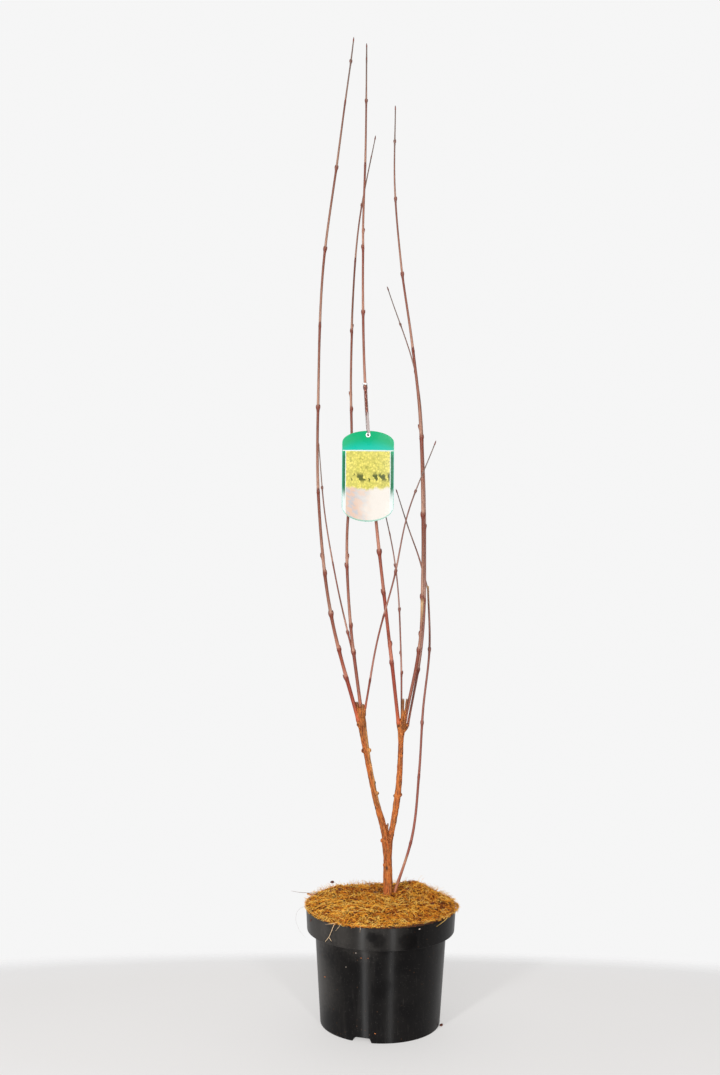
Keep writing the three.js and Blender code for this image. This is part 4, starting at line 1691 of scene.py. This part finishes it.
        # Painted shade: the trunk is darkest round the crotch, fading below it and up the feet of the
        # boughs
        crotch_shade = np.interp(height, (0.184, 0.192, 0.225, 0.27), (0, 1, 0.8, 0.1))
        marks = {"grain": grain, "head": left + right, "tan": tan_highlight, "crotch_shade": crotch_shade,
                 "stub": grey, "cut": cut * 0.8, "scar": scar}
        for name, values in marks.items():
            put_mark(bark.data, name, values)

    def build(self, shoots: tuple[Shoot, ...]) -> None:
        """Builds and dresses the trunk and the boughs in one skin of bark.

        Args:
            shoots: The shoots that leave the heads.
        """
        stock = Stock()
        for limb in self.limbs + self.stubs:
            heights = np.arange(limb.foot, limb.top + self.step / 2, self.step)
            heights = np.clip(heights, limb.foot, limb.top)
            radii = limb.radii(heights) + self.skin
            stock.add(*tubes(limb.centres(heights)[None], radii[None], 24, RIGHT))
        self._sleeves(stock, shoots)
        shape, faces = mould(start("knob_mould", "ico_sphere", subdivisions=3, radius=1))
        for x, y, z, radius in self.knobs:
            stock.add(shape * (radius, radius, radius * 1.25) + (x, y, z), faces)
        bark = stock.piece("tree_bark")
        modify(bark, "REMESH", mode="VOXEL", voxel_size=self.voxel)
        modify(bark, "SMOOTH", factor=0.5, iterations=6)
        self._marks(bark, self._relief(bark))
        bark.data.shade_smooth()
        settle(bark, Slot.BARK, "trunk", "left_bough", "right_bough", wear=BarkFinish().material())


@dataclass(frozen=True)
class Stem:
    """One stem of a shoot, with buds at its nodes."""

    limb: Limb
    nodes: tuple[float, ...]
    # A letter for each node: buds at both sides, at front and back, or one at the left or right
    faces: str
    # Seed of its kinks and of its buds
    seed: int
    # Whether its foot flares into the wood that it grows from, and whether its top was cut off
    rooted: bool
    pruned: bool
    step: ClassVar[float] = 0.002
    # Distance of each ring round a node from it, in millimetres
    rings: ClassVar[tuple[float, ...]] = (-4, -3, -2.2, -1.5, -0.9, -0.4, -0.15, 0.15, 0.5, 1, 1.7, 2.6)
    # How far from a node the even rings keep
    ring_gap: ClassVar[float] = 0.0045
    # Nodes closer to the one below than this share a length of colour with it
    least_length: ClassVar[float] = 0.03
    zigzag: ClassVar[float] = 0.0003
    bud_turns: ClassVar[dict[str, tuple[float, ...]]] = {
        "s": (8, 188), "f": (98, 278), "l": (176,), "r": (4,)}

    @cached_property
    def heights(self) -> Array:
        """Heights of the rings, which are closer together at the nodes.

        Returns:
            The heights, from the foot up.
        """
        foot, top, marks = self.limb.foot, self.limb.top, np.array(self.nodes)
        even = np.arange(foot, top, self.step)
        even = even[np.abs(even[:, None] - marks).min(axis=1) > self.ring_gap]
        near = (marks[:, None] + np.array(self.rings) / 1000).ravel()
        found = np.unique(np.round(np.concatenate([even, near, [foot, top]]), 6))
        return found[(found >= foot) & (found <= top)]

    @cached_property
    def phase(self) -> Array:
        """How far along its length of colour each ring is.

        Returns:
            Share of the way from each node to the next.
        """
        kept = [self.limb.foot - self.least_length]
        for node in self.nodes:
            if node - kept[-1] > self.least_length:
                kept.append(node)
        stops = np.array([*kept, self.limb.top + 0.01])
        below = np.clip(np.searchsorted(stops, self.heights, "right") - 1, 0, len(stops) - 2)
        return (self.heights - stops[below]) / (stops[below + 1] - stops[below])

    def axis(self, heights: Array) -> Array:
        """Follows the centre line, with a slight kink to one side at each node.

        Args:
            heights: The heights.

        Returns:
            Its places there, one row each.
        """
        rng = np.random.default_rng(self.seed)
        stops = np.array([self.limb.foot, *self.nodes, self.limb.top])
        kinks = rng.uniform(-1, 1, (len(stops), 2)) * self.zigzag
        kinks[[0, -1]] = 0
        route = self.limb.centres(heights)
        for k in (0, 1):
            route[:, k] += np.interp(heights, stops, kinks[:, k])
        return route

    def turns_at(self, number: int) -> list[float]:
        """Directions of the buds at one node."""
        return [math.radians(turn) for turn in self.bud_turns[self.faces[number]]]


@dataclass(frozen=True)
class Shoot:
    """One long shoot with paired buds at its nodes, and a twig if it has one."""

    name: str
    limb: Limb
    nodes: tuple[float, ...]
    slot: Slot = Slot.THIN_SHOOT
    sleeve: float = 0.004
    # How far down the bough its foot can still be seen
    merge: float = 0.018
    pruned: bool = False
    twig: Limb | None = None
    twig_nodes: tuple[float, ...] = ()
    faces: str = ""
    twig_faces: str = ""
    bud_share: float = 1.0
    # How little the colour changes from node to node
    evenness: float = 0.0
    # Heights and how red the bark is there
    warmth: Rows = ((0.0, 0.25), (1.2, 0.25))
    # Lowest and highest place of each tan patch, and its strength
    patches: Rows = ()

    def stems(self, seed: int) -> list[Stem]:
        """Lists its stems.

        Args:
            seed: Seed of the first stem.

        Returns:
            The long stem, then its twig if it has one.
        """
        found = [Stem(self.limb, self.nodes, self.faces, seed, True, self.pruned)]
        if self.twig:
            found.append(Stem(self.twig, self.twig_nodes, self.twig_faces, seed + 50, False, False))
        return found


SHOOTS = (
    Shoot(
        "left_outer_shoot",
        Limb(0.368, 1.191,
             (-0.0293, -0.0651, -0.08, -0.0807, -0.0761, -0.0592, -0.0417),
             (0.004, -0.008, -0.02, -0.03, -0.036, -0.04, -0.042),
             (0.0024, 0.002, 0.0017, 0.0015, 0.0014, 0.0012, 0.0007)),
        (0.423, 0.458, 0.501, 0.5515, 0.572, 0.651, 0.752, 0.851, 0.942, 1.039, 1.118, 1.166),
        Slot.SHOOT, faces="lrsrlfsfssfs", warmth=((0.37, 1.0), (0.43, 0.8), (0.5, 0.3), (0.9, 0.2))),
    Shoot(
        "left_tall_shoot",
        Limb(0.384, 1.1,
             (-0.0266, -0.0401, -0.0454, -0.0404, -0.0422, -0.0404, -0.0329, -0.0141),
             (0.008, 0.012, 0.018, 0.024, 0.03, 0.036, 0.04, 0.044),
             (0.0022, 0.0018, 0.0017, 0.0016, 0.0014, 0.0012, 0.0009, 0.0005)),
        (0.453, 0.486, 0.56, 0.5715, 0.64, 0.756, 0.7755, 0.8545, 0.861, 0.945, 1.015, 1.0765),
        Slot.SHOOT, faces="srlrfrllrfsf",
        twig=Limb(0.452, 0.711, (-0.0374, -0.058, -0.0736, -0.082), (0.012, 0.022, 0.03, 0.036),
                  (0.0011, 0.0009, 0.0008, 0.0005)),
        twig_nodes=(0.4765, 0.562, 0.657), twig_faces="sfs", warmth=((0.4, 0.45), (0.7, 0.3))),
    Shoot(
        "crossing_shoot",
        Limb(0.384, 0.708, (-0.0212, -0.0077, 0.0127, 0.029, 0.0597),
             (0.002, -0.008, -0.02, -0.032, -0.042), (0.0013, 0.0011, 0.001, 0.0008, 0.0005)),
        (0.42, 0.5, 0.554, 0.651), faces="ffss", warmth=((0.38, 0.6), (0.7, 0.3))),
    Shoot(
        "centre_leader",
        Limb(0.362, 1.196,
             (0.0209, 0.0064, -0.008, -0.0198, -0.0269, -0.0284, -0.0261, -0.0257),
             (0.024, 0.016, 0.008, 0.002, -0.002, -0.006, -0.008, -0.01),
             (0.0023, 0.0021, 0.0019, 0.0017, 0.0015, 0.0013, 0.0012, 0.0007)),
        (0.44, 0.4625, 0.5275, 0.577, 0.69, 0.7795, 0.872, 0.9515, 0.972, 1.052, 1.13, 1.181),
        Slot.SHOOT, faces="lrlsfsslrfsf",
        warmth=((0.36, 1.0), (0.5, 0.9), (0.57, 0.6), (0.8, 0.45), (1.1, 0.35))),
    Shoot(
        "right_thin_shoot",
        Limb(0.366, 0.655, (0.0249, 0.0232, 0.016, -0.0046), (0.031, 0.034, 0.034, 0.03),
             (0.0011, 0.001, 0.0008, 0.0005)),
        (0.425, 0.45, 0.505, 0.56, 0.6), faces="rlssf", warmth=((0.36, 0.5), (0.7, 0.3))),
    Shoot(
        "right_leader",
        Limb(0.366, 1.124,
             (0.029, 0.0463, 0.0493, 0.0485, 0.0446, 0.0329, 0.0191, 0.0102, 0.0103),
             (0.028, 0.024, 0.02, 0.016, 0.012, 0.009, 0.006, 0.004, 0.002),
             (0.0021, 0.0019, 0.0019, 0.0022, 0.002, 0.0015, 0.0012, 0.001, 0.0006)),
        (0.455, 0.475, 0.5215, 0.624, 0.72, 0.733, 0.828, 0.921, 1.0135, 1.084),
        Slot.SHOOT, faces="lllsrlfsss", merge=0.012, warmth=((0.36, 0.5), (0.55, 0.25), (0.9, 0.35)),
        patches=((0.501, 0.519, 0.7),)),
    Shoot(
        "right_twin_shoot",
        Limb(0.358, 0.912, (0.0326, 0.0508, 0.0537, 0.0507, 0.0407, 0.0043),
             (0.033, 0.038, 0.042, 0.046, 0.052, 0.058),
             (0.0015, 0.0013, 0.0011, 0.0009, 0.0008, 0.0005)),
        (0.429, 0.517, 0.61, 0.72, 0.806, 0.867), faces="rfrfls", merge=0.009,
        warmth=((0.36, 0.4), (0.7, 0.2))),
    Shoot(
        "basal_shoot",
        Limb(0.141, 0.534, (0.014, 0.0389, 0.0477, 0.0525, 0.0602, 0.0576),
             (0.0215, 0.031, 0.038, 0.044, 0.048, 0.05),
             (0.0018, 0.0016, 0.0015, 0.0014, 0.0013, 0.0012)),
        (0.166, 0.213, 0.295, 0.362, 0.454), faces="fffss", pruned=True, sleeve=0.0,
        bud_share=0.8, evenness=0.75,
        twig=Limb(0.526, 0.653, (0.0586, 0.0466, 0.031, 0.0172), (0.05, 0.051, 0.05, 0.046),
                  (0.001, 0.0009, 0.0007, 0.0005)),
        twig_nodes=(0.56, 0.616), twig_faces="ff", warmth=((0.14, 1.0), (0.19, 0.7), (0.5, 0.35)),
        patches=((0.13, 0.17, 0.18), (0.184, 0.197, 0.35), (0.522, 0.534, 0.45))),
)


@dataclass
class Grove:
    """The long shoots, each a fine stem with paired buds turned a quarter at each node."""

    sides: int = 12
    bud_length: float = 0.0052
    bud_width: float = 0.0024
    bud_lean: float = 7.0
    spread: float = 0.9
    rise: float = -0.0012
    tip_length: float = 0.0056
    tip_width: float = 0.002
    skin: float = 0.00012
    # How far a node's swelling reaches below and above it, and how much it adds
    swell_below: float = 0.0032
    swell_above: float = 0.0014
    swell_round: float = 0.16
    swell_at_buds: float = 0.34
    # Half the height and the depth of the groove round a node
    groove: float = 0.0005
    groove_depth: float = 0.16

    @property
    def turns(self) -> Array:
        """Directions of a stem's sides."""
        return np.linspace(0, 2 * math.pi, self.sides, endpoint=False)

    def radii(self, stem: Stem) -> Array:
        """Finds the girth of a stem, with its flare, its swellings and its ribs.

        Args:
            stem: The stem.

        Returns:
            Radius of each ring at each side.
        """
        heights, turns = stem.heights, self.turns
        girth = stem.limb.radii(heights) + self.skin
        girth = girth * (1.04 - 0.1 * np.sin(math.pi * np.clip(stem.phase, 0, 1)))
        if stem.rooted:
            girth = girth * (1 + 0.22 * np.exp(-((heights - stem.limb.foot) / 0.005) ** 2))
        found = np.repeat(girth[:, None], self.sides, axis=1)
        for number, node in enumerate(stem.nodes):
            gap = heights - node
            reach = np.where(gap < 0, self.swell_below, self.swell_above)
            swell = np.exp(-(gap / reach) ** 2)[:, None]
            at_buds = sum(np.clip(np.cos(turns - turn), 0, 1) ** 2 for turn in stem.turns_at(number))
            found += girth[:, None] * swell * (self.swell_round + self.swell_at_buds * at_buds)
            found -= girth[:, None] * self.groove_depth * np.exp(-(gap / self.groove) ** 2)[:, None]
        ribs = 0.022 * np.sin(3 * turns + stem.seed) + 0.015 * np.sin(5 * turns + heights[:, None] * 60)
        return found * (1 + ribs)

    def marks(self, shoot: Shoot, stem: Stem) -> dict[str, Array]:
        """Finds the tones of a stem's rings.

        Args:
            shoot: The shoot that it belongs to.
            stem: The stem.

        Returns:
            A value for each ring, by the name of its attribute.
        """
        heights, foot, top = stem.heights, stem.limb.foot, stem.limb.top
        warm = np.interp(heights, *zip(*shoot.warmth))
        tip = np.interp(top - heights, (0.035, 0.075, 0.24), (0.85, 0.3, 0)) * (not stem.pruned)
        patch = np.zeros(len(heights))
        for low, high, strength in shoot.patches:
            limits = (low - 0.016, low + 0.008, high - 0.006, high + 0.001)
            reach = np.interp(heights, limits, (0, 0.7, 1, 0.1)) * (heights < high + 0.002)
            patch = np.maximum(patch, reach * strength)
        if stem.pruned:
            patch = np.maximum(patch, np.interp(heights, (top - 0.005, top - 0.002), (0, 0.8)))
        ember = np.interp(heights - foot, (0.004, 0.022), (0.7, 0)) * warm * stem.rooted
        tone = stem.phase + shoot.evenness * (0.7 - stem.phase)
        return {"phase": tone, "warm": warm, "tip": tip, "patch": patch, "ember": ember}

    def add_stem(self, stock: Stock, shoot: Shoot, stem: Stem) -> None:
        """Adds one stem with its swellings and its marks.

        Args:
            stock: Where the stem goes.
            shoot: The shoot that it belongs to.
            stem: The stem.
        """
        route, radii, turns = stem.axis(stem.heights), self.radii(stem), self.turns
        points, faces = tubes(route[None], radii[None], self.sides, RIGHT)
        arc = np.concatenate([[0], np.cumsum(np.linalg.norm(np.diff(route, axis=0), axis=1))])
        along = np.repeat(arc[:, None], self.sides, 1)
        grain = np.stack([radii * np.cos(turns), radii * np.sin(turns), along], -1)
        marks = {name: np.repeat(values, self.sides) for name, values in self.marks(shoot, stem).items()}
        stock.add(points, faces, grain=grain.reshape(-1, 3) + stem.seed * 0.37, **marks)

    def bud_mould(self) -> Form:
        """Shapes one pointed bud, one long, that bends in towards its stem at the tip.

        Returns:
            Its places and its faces.
        """
        profile = [(0.2, -0.16), (0.44, -0.06), (0.52, 0.1), (0.52, 0.32), (0.44, 0.54),
                   (0.29, 0.76), (0.13, 0.92), (0.03, 1.0)]
        shape, faces = mould(turned("bud_mould", profile, 8))
        shape[:, 0] *= 0.82
        shape[:, 0] -= 0.1 * np.clip(shape[:, 2], 0, 1) ** 2
        return shape, faces

    def add_bud(self, stock: Stock, bud: Form, root: Array, rise: Array, outward: Array,
                length: float, width: float) -> None:
        """Adds one bud.

        Args:
            stock: Where the bud goes.
            bud: Places and faces of the bud to copy.
            root: Place of its foot.
            rise: Direction that it points in.
            outward: Direction away from the stem.
            length: Its length.
            width: Its width.
        """
        shape, faces = bud
        rise = rise / np.linalg.norm(rise)
        outward = outward - rise * (outward @ rise)
        outward = outward / np.linalg.norm(outward)
        side = np.cross(rise, outward)
        offset = (shape[:, :1] * outward + shape[:, 1:2] * side) * width + shape[:, 2:] * rise * length
        stock.add(root + offset, faces, phase=np.clip(shape[:, 2], 0, 1))

    def add_buds(self, stock: Stock, bud: Form, stem: Stem, share: float) -> None:
        """Adds the paired buds of one stem, and the bud at its tip unless it was cut.

        Args:
            stock: Where the buds go.
            bud: Places and faces of the bud to copy.
            stem: The stem.
            share: Size of its buds beside those of other stems.
        """
        rng = np.random.default_rng(stem.seed + 500)
        limb, marks = stem.limb, np.array(stem.nodes)
        ahead = limb.centres(marks + 0.004) - limb.centres(marks - 0.004)
        ahead /= np.linalg.norm(ahead, axis=1, keepdims=True)
        for number, (place, rise, girth) in enumerate(zip(stem.axis(marks), ahead, limb.radii(marks))):
            size = float(np.interp(girth, (0.0005, 0.002), (0.6, 1.05)))
            for turn in stem.turns_at(number):
                outward = np.array([math.cos(turn), math.sin(turn), 0.0])
                outward -= rise * (outward @ rise)
                outward /= np.linalg.norm(outward)
                lean = math.radians(self.bud_lean + rng.uniform(-4, 5))
                own = size * rng.uniform(0.88, 1.08) * share
                root = place + outward * (girth * self.spread + 0.0003) + rise * self.rise * size
                self.add_bud(stock, bud, root, rise * math.cos(lean) + outward * math.sin(lean),
                             outward, self.bud_length * own, self.bud_width * own)
        if not stem.pruned:
            below, top = limb.centres(np.array([limb.top - 0.004, limb.top]))
            rise = top - below
            self.add_bud(stock, bud, top - rise / np.linalg.norm(rise) * 0.001, rise,
                         np.array([1.0, 0.3, 0.0]), self.tip_length, self.tip_width)

    def build(self) -> None:
        """Builds and dresses every shoot with its buds."""
        cool = ((0.33, 0.215, 0.155, 1), (0.21, 0.112, 0.074, 1),
                (0.15, 0.052, 0.03, 1), (0.07, 0.016, 0.01, 1))
        thin = ((0.3, 0.205, 0.17, 1), (0.2, 0.118, 0.092, 1),
                (0.15, 0.07, 0.052, 1), (0.08, 0.026, 0.018, 1))
        bark = {slot: ShootFinish(slot.value, *tones).material()
                for slot, tones in ((Slot.SHOOT, cool), (Slot.THIN_SHOOT, thin))}
        scales = BudFinish().material()
        bud = self.bud_mould()
        for seed, shoot in enumerate(SHOOTS, start=1):
            wood, buds = Stock(), Stock()
            for stem in shoot.stems(seed):
                self.add_stem(wood, shoot, stem)
                self.add_buds(buds, bud, stem, shoot.bud_share)
            settle(wood.piece(f"{shoot.name}_wood", bark[shoot.slot]), shoot.slot, shoot.name)
            settle(buds.piece(f"{shoot.name}_buds", scales), shoot.slot)


@dataclass
class Label:
    """Hanging plastic card with a domed top and a round foot, its eyelet and its tie."""

    # The stem that it hangs on
    leader: Limb
    width: float = 0.0638
    shoulder_height: float = 0.7118
    lower_corner_height: float = 0.6336
    top_rise: float = 0.0144
    bottom_drop: float = 0.0192
    thickness: float = 0.0006
    middle_across: float = -0.0201
    front_depth: float = -0.0046
    bow: float = 0.0024
    hole_radius: float = 0.0022
    hole_below_apex: float = 0.0052
    eyelet_girth: float = 0.00085
    strap_radius: float = 0.0006
    loop_height: float = 0.7848
    clearance: float = 0.00035
    leg_spread: float = 0.0015
    foot_rise: float = 0.009
    band_width: float = 0.0017
    band_gap: float = 0.0002
    band_thickness: float = 0.0007
    strap_thickness: float = 0.0003
    strap_length: float = 0.025

    @property
    def hole(self) -> Array:
        """Middle of the hole, on the card's own middle."""
        height = self.shoulder_height + self.top_rise - self.hole_below_apex
        return np.array([self.middle_across, self.front_depth + self.thickness / 2, height])

    def card(self) -> None:
        """Builds the bowed card from a grid whose edges become arcs, with its hole."""
        card = start("label_card", "grid", x_subdivisions=48, y_subdivisions=60, size=1)
        places = places_of(card)
        # The columns lie closer together towards the sides, where the arcs turn steep
        side = np.sin(math.pi * places[:, 0])
        arc = np.sqrt(np.clip(1 - side ** 2, 0, 1))
        upper = self.shoulder_height + self.top_rise * arc
        lower = self.lower_corner_height - self.bottom_drop * arc
        height = lower + (places[:, 1] + 0.5) * (upper - lower)
        across = self.middle_across + side * self.width / 2
        move_to(card, np.column_stack([across, self.front_depth + self.bow * side ** 2, height]))
        corners = card.data.uv_layers.active.data
        spots = np.empty(len(corners) * 2)
        corners.foreach_get("uv", spots)
        spots[::2] = 0.5 + 0.5 * np.sin(math.pi * (spots[::2] - 0.5))
        corners.foreach_set("uv", spots)
        modify(card, "SOLIDIFY", thickness=self.thickness, offset=-1.0)
        cut(card, start("label_punch", "cylinder", vertices=40, radius=self.hole_radius, depth=0.01,
                        location=self.hole, rotation=(math.pi / 2, 0, 0)))
        modify(card, "BEVEL", width=0.00012, segments=2, limit_method="ANGLE", angle_limit=1.0)
        smooth(card, 40)
        settle(card, Slot.LABEL, "label", wear=LabelFinish().material())

    def eyelet(self, plastic: Material) -> None:
        """Builds the ring that lines the hole.

        Args:
            plastic: The material that it wears.
        """
        ring = start("label_eyelet", "torus", major_radius=self.hole_radius,
                     minor_radius=self.eyelet_girth, major_segments=40, minor_segments=10,
                     location=self.hole - (0, 0.0002, 0), rotation=(math.pi / 2, 0, 0))
        places = places_of(ring)
        places[:, 1] = self.hole[1] + (places[:, 1] - self.hole[1]) * 1.3
        move_to(ring, places)
        smooth(ring, 60)
        settle(ring, Slot.TIE, wear=plastic)

    def tie_route(self) -> list[Array]:
        """Lays the closed tie, up one side of the stem and down the other.

        Returns:
            The places that it passes.
        """
        hole = self.hole
        _, girth = self.leader.at(self.loop_height)
        around = girth + self.clearance + self.strap_radius
        ahead = around + self.strap_radius
        middle = (hole[2] + self.loop_height) / 2

        def beside(height: float, across: float, depth: float) -> Array:
            """A place beside the stem's centre at a height."""
            return self.leader.at(height)[0] + (across, depth, 0)

        lower_left = beside(hole[2] + self.foot_rise, -self.leg_spread, 0)
        lower_right = beside(hole[2] + self.foot_rise, self.leg_spread, -ahead)
        lower_left[1] = hole[1] - 0.0009
        return [
            hole,
            hole + (-0.0006, -0.0014, 0.0032),
            lower_left,
            beside(middle, -self.leg_spread, -ahead),
            beside(self.loop_height - 0.0025, -0.75 * around, -0.75 * around),
            beside(self.loop_height, -around, 0.3 * around),
            beside(self.loop_height + 0.0008, 0, around),
            beside(self.loop_height, around, 0.3 * around),
            beside(self.loop_height - 0.0025, 0.75 * around, -0.75 * around),
            beside(middle, self.leg_spread, -ahead),
            lower_right,
            hole + (0.0004, 0.0013, 0.0032),
        ]

    def tie(self, plastic: Material) -> None:
        """Builds the closed tie as a thin cord that becomes a mesh.

        Args:
            plastic: The material that it wears.
        """
        route = self.tie_route()
        curve = bpy.data.curves.new("tie_loop", "CURVE")
        curve.dimensions = "3D"
        curve.bevel_depth = self.strap_radius
        curve.bevel_resolution = 3
        spline = curve.splines.new("BEZIER")
        spline.bezier_points.add(len(route) - 1)
        for point, place in zip(spline.bezier_points, route):
            point.co = place
            point.handle_left_type = "AUTO"
            point.handle_right_type = "AUTO"
        spline.use_cyclic_u = True
        tie = bpy.data.objects.new("tie_loop", curve)
        bpy.context.scene.collection.objects.link(tie)
        take(tie)
        bpy.ops.object.convert(target="MESH")
        tie.data.name = tie.name
        smooth(tie, 60)
        settle(tie, Slot.TIE, "label_tie", wear=plastic)

    def band(self, plastic: Material) -> None:
        """Builds the flat part of the tie that lies round the stem.

        Args:
            plastic: The material that it wears.
        """
        centre, girth = self.leader.at(self.loop_height)
        inner, half = girth + self.band_gap, self.band_width / 2
        outer = inner + self.band_thickness
        profile = rounded([(inner, -half), (outer, -half), (outer, half), (inner, half)], 0.0001, 2)
        band = turned("tie_band", profile + profile[:1], 32)
        places = places_of(band)
        places[:, 2] += -0.22 * places[:, 0] + 0.3 * places[:, 1]
        move_to(band, places + centre)
        smooth(band, 50)
        settle(band, Slot.TIE, wear=plastic)

    def strap(self, plastic: Material) -> None:
        """Builds the flat end of the tie that lies over the stem above the card.

        Args:
            plastic: The material that it wears.
        """
        strap = start("tie_strap", "grid", x_subdivisions=4, y_subdivisions=24, size=1)
        places = places_of(strap)
        side, rise = 2 * places[:, 0], places[:, 1] + 0.5
        height = self.hole[2] + 0.003 + rise * self.strap_length
        half_width = np.interp(rise, (0, 0.12, 0.8, 1), (0.0021, 0.0016, 0.0011, 0.0005))
        centres = self.leader.centres(height)
        across = centres[:, 0] + 0.0006 + side * half_width
        before_stem = centres[:, 1] - self.leader.radii(height) - 0.0024
        in_front = np.minimum(before_stem, self.front_depth - 0.001)
        move_to(strap, np.column_stack([across, in_front + 0.0004 * side ** 2, height]))
        modify(strap, "SOLIDIFY", thickness=self.strap_thickness, offset=0.0)
        smooth(strap, 50)
        settle(strap, Slot.TIE, wear=plastic)

    def build(self) -> None:
        """Builds and dresses the card, its eyelet and its tie."""
        clear = MilkyPlastic("milky_plastic", (0.86, 0.86, 0.85, 1), 0.95).material()
        white = MilkyPlastic("white_plastic", (0.86, 0.85, 0.84, 1), 0.0).material()
        frosted = MilkyPlastic("frosted_plastic", (0.34, 0.275, 0.26, 1), 0.0).material()
        self.card()
        self.eyelet(white)
        self.tie(clear)
        self.band(white)
        self.strap(frosted)


@dataclass
class Studio:
    """Plain pale floor, soft light and the camera."""

    camera_place: Place = (-0.0292, -1.587, 0.595)
    camera_roll: float = -0.45
    lens: float = 43.13
    floor_radius: float = 1.25
    air_seen: float = 0.92
    air_behind: float = 0.8
    air_in_front: float = 0.24
    # Softboxes: place, size, power and what they point at
    boxes: tuple[tuple[tuple, tuple[float, float], float, tuple], ...] = (
        ((-1.05, -1.95, 0.7), (0.16, 1.4), 42.0, (0, 0, 0.3)),
        ((0.66, -2.1, 0.7), (0.16, 1.4), 27.0, (0, 0, 0.3)),
        ((-0.3, -2.1, 2.1), (1.8, 0.9), 17.0, (0, 0, 0.5)),
    )

    def camera(self) -> None:
        """Places the camera, level but for a slight roll."""
        data = bpy.data.cameras.new("camera")
        data.lens = self.lens
        data.clip_end = 200
        camera = bpy.data.objects.new("camera", data)
        camera.location = self.camera_place
        camera.rotation_euler = (math.radians(90), math.radians(self.camera_roll), 0)
        bpy.context.scene.collection.objects.link(camera)
        bpy.context.scene.camera = camera

    def lights(self) -> None:
        """Hangs the softboxes, each turned to the object."""
        for number, (place, size, power, target) in enumerate(self.boxes):
            data = bpy.data.lights.new(f"softbox_{number}", "AREA")
            data.shape = "RECTANGLE"
            data.size, data.size_y = size
            data.energy = power
            light = bpy.data.objects.new(data.name, data)
            light.location = place
            aim = Vector(target) - Vector(place)
            light.rotation_euler = aim.to_track_quat("-Z", "Y").to_euler()
            bpy.context.scene.collection.objects.link(light)

    def world(self) -> None:
        """Fills the room with pale light, dimmer in front than behind, and shows the camera a paler air.
        """
        world = bpy.data.worlds.new("studio_air")
        world.use_nodes = True
        world.node_tree.nodes.clear()
        board = Board(world.node_tree)
        direction = board.add("ShaderNodeTexCoord").outputs["Generated"]
        backward = board.add("ShaderNodeSeparateXYZ", {0: direction}).outputs[1]
        glow = board.remap(backward, -0.35, 0.45, self.air_in_front, self.air_behind)
        seen = board.add("ShaderNodeLightPath").outputs["Is Camera Ray"]
        unseen = board.times(glow, board.minus(1.0, seen))
        strength = board.plus(board.times(seen, self.air_seen), unseen)
        air = board.add("ShaderNodeBackground", {"Color": (1.0, 1.0, 1.0, 1), "Strength": strength})
        board.add("ShaderNodeOutputWorld", {"Surface": air.outputs[0]})
        bpy.context.scene.world = world

    def floor(self) -> None:
        """Lays the floor under the pot."""
        floor = start("studio_floor", "circle", vertices=96, radius=self.floor_radius, fill_type="NGON")
        floor.data.materials.append(FloorFinish().material())

    def build(self) -> None:
        """Sets up everything that isn't part of the object."""
        view = bpy.context.scene.view_settings
        view.view_transform = "Standard"
        view.look = "None"
        self.camera()
        self.lights()
        self.world()
        self.floor()


def dress_soil() -> None:
    """Gives the compost its finish; its solid shape is kept."""
    soil = bpy.data.objects["potting_soil"]
    finish = GroundFinish("potting_soil", (0.014, 0.008, 0.005, 1), (0.06, 0.033, 0.02, 1), 260.0)
    soil.data.materials.clear()
    soil.data.materials.append(finish.material())
    LOG.info("potting_soil: dressed as it is")


def main() -> None:
    """Builds the potted tree from the floor up."""
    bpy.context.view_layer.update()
    for build in (build_mottle, build_grain, build_flecks, build_spot):
        build()
    Studio().build()
    pot = Pot()
    pot.build()
    dress_soil()
    mulch = Mulch(pot)
    mulch.build()
    Litter(pot, mulch).build()
    Timber().build(tuple(shoot for shoot in SHOOTS if shoot.sleeve))
    Grove().build()
    leader = next(shoot.limb for shoot in SHOOTS if shoot.name == "centre_leader")
    Label(leader).build()


if __name__ == "__main__":
    logging.basicConfig(level=logging.INFO, format="%(name)s: %(message)s")
    main()
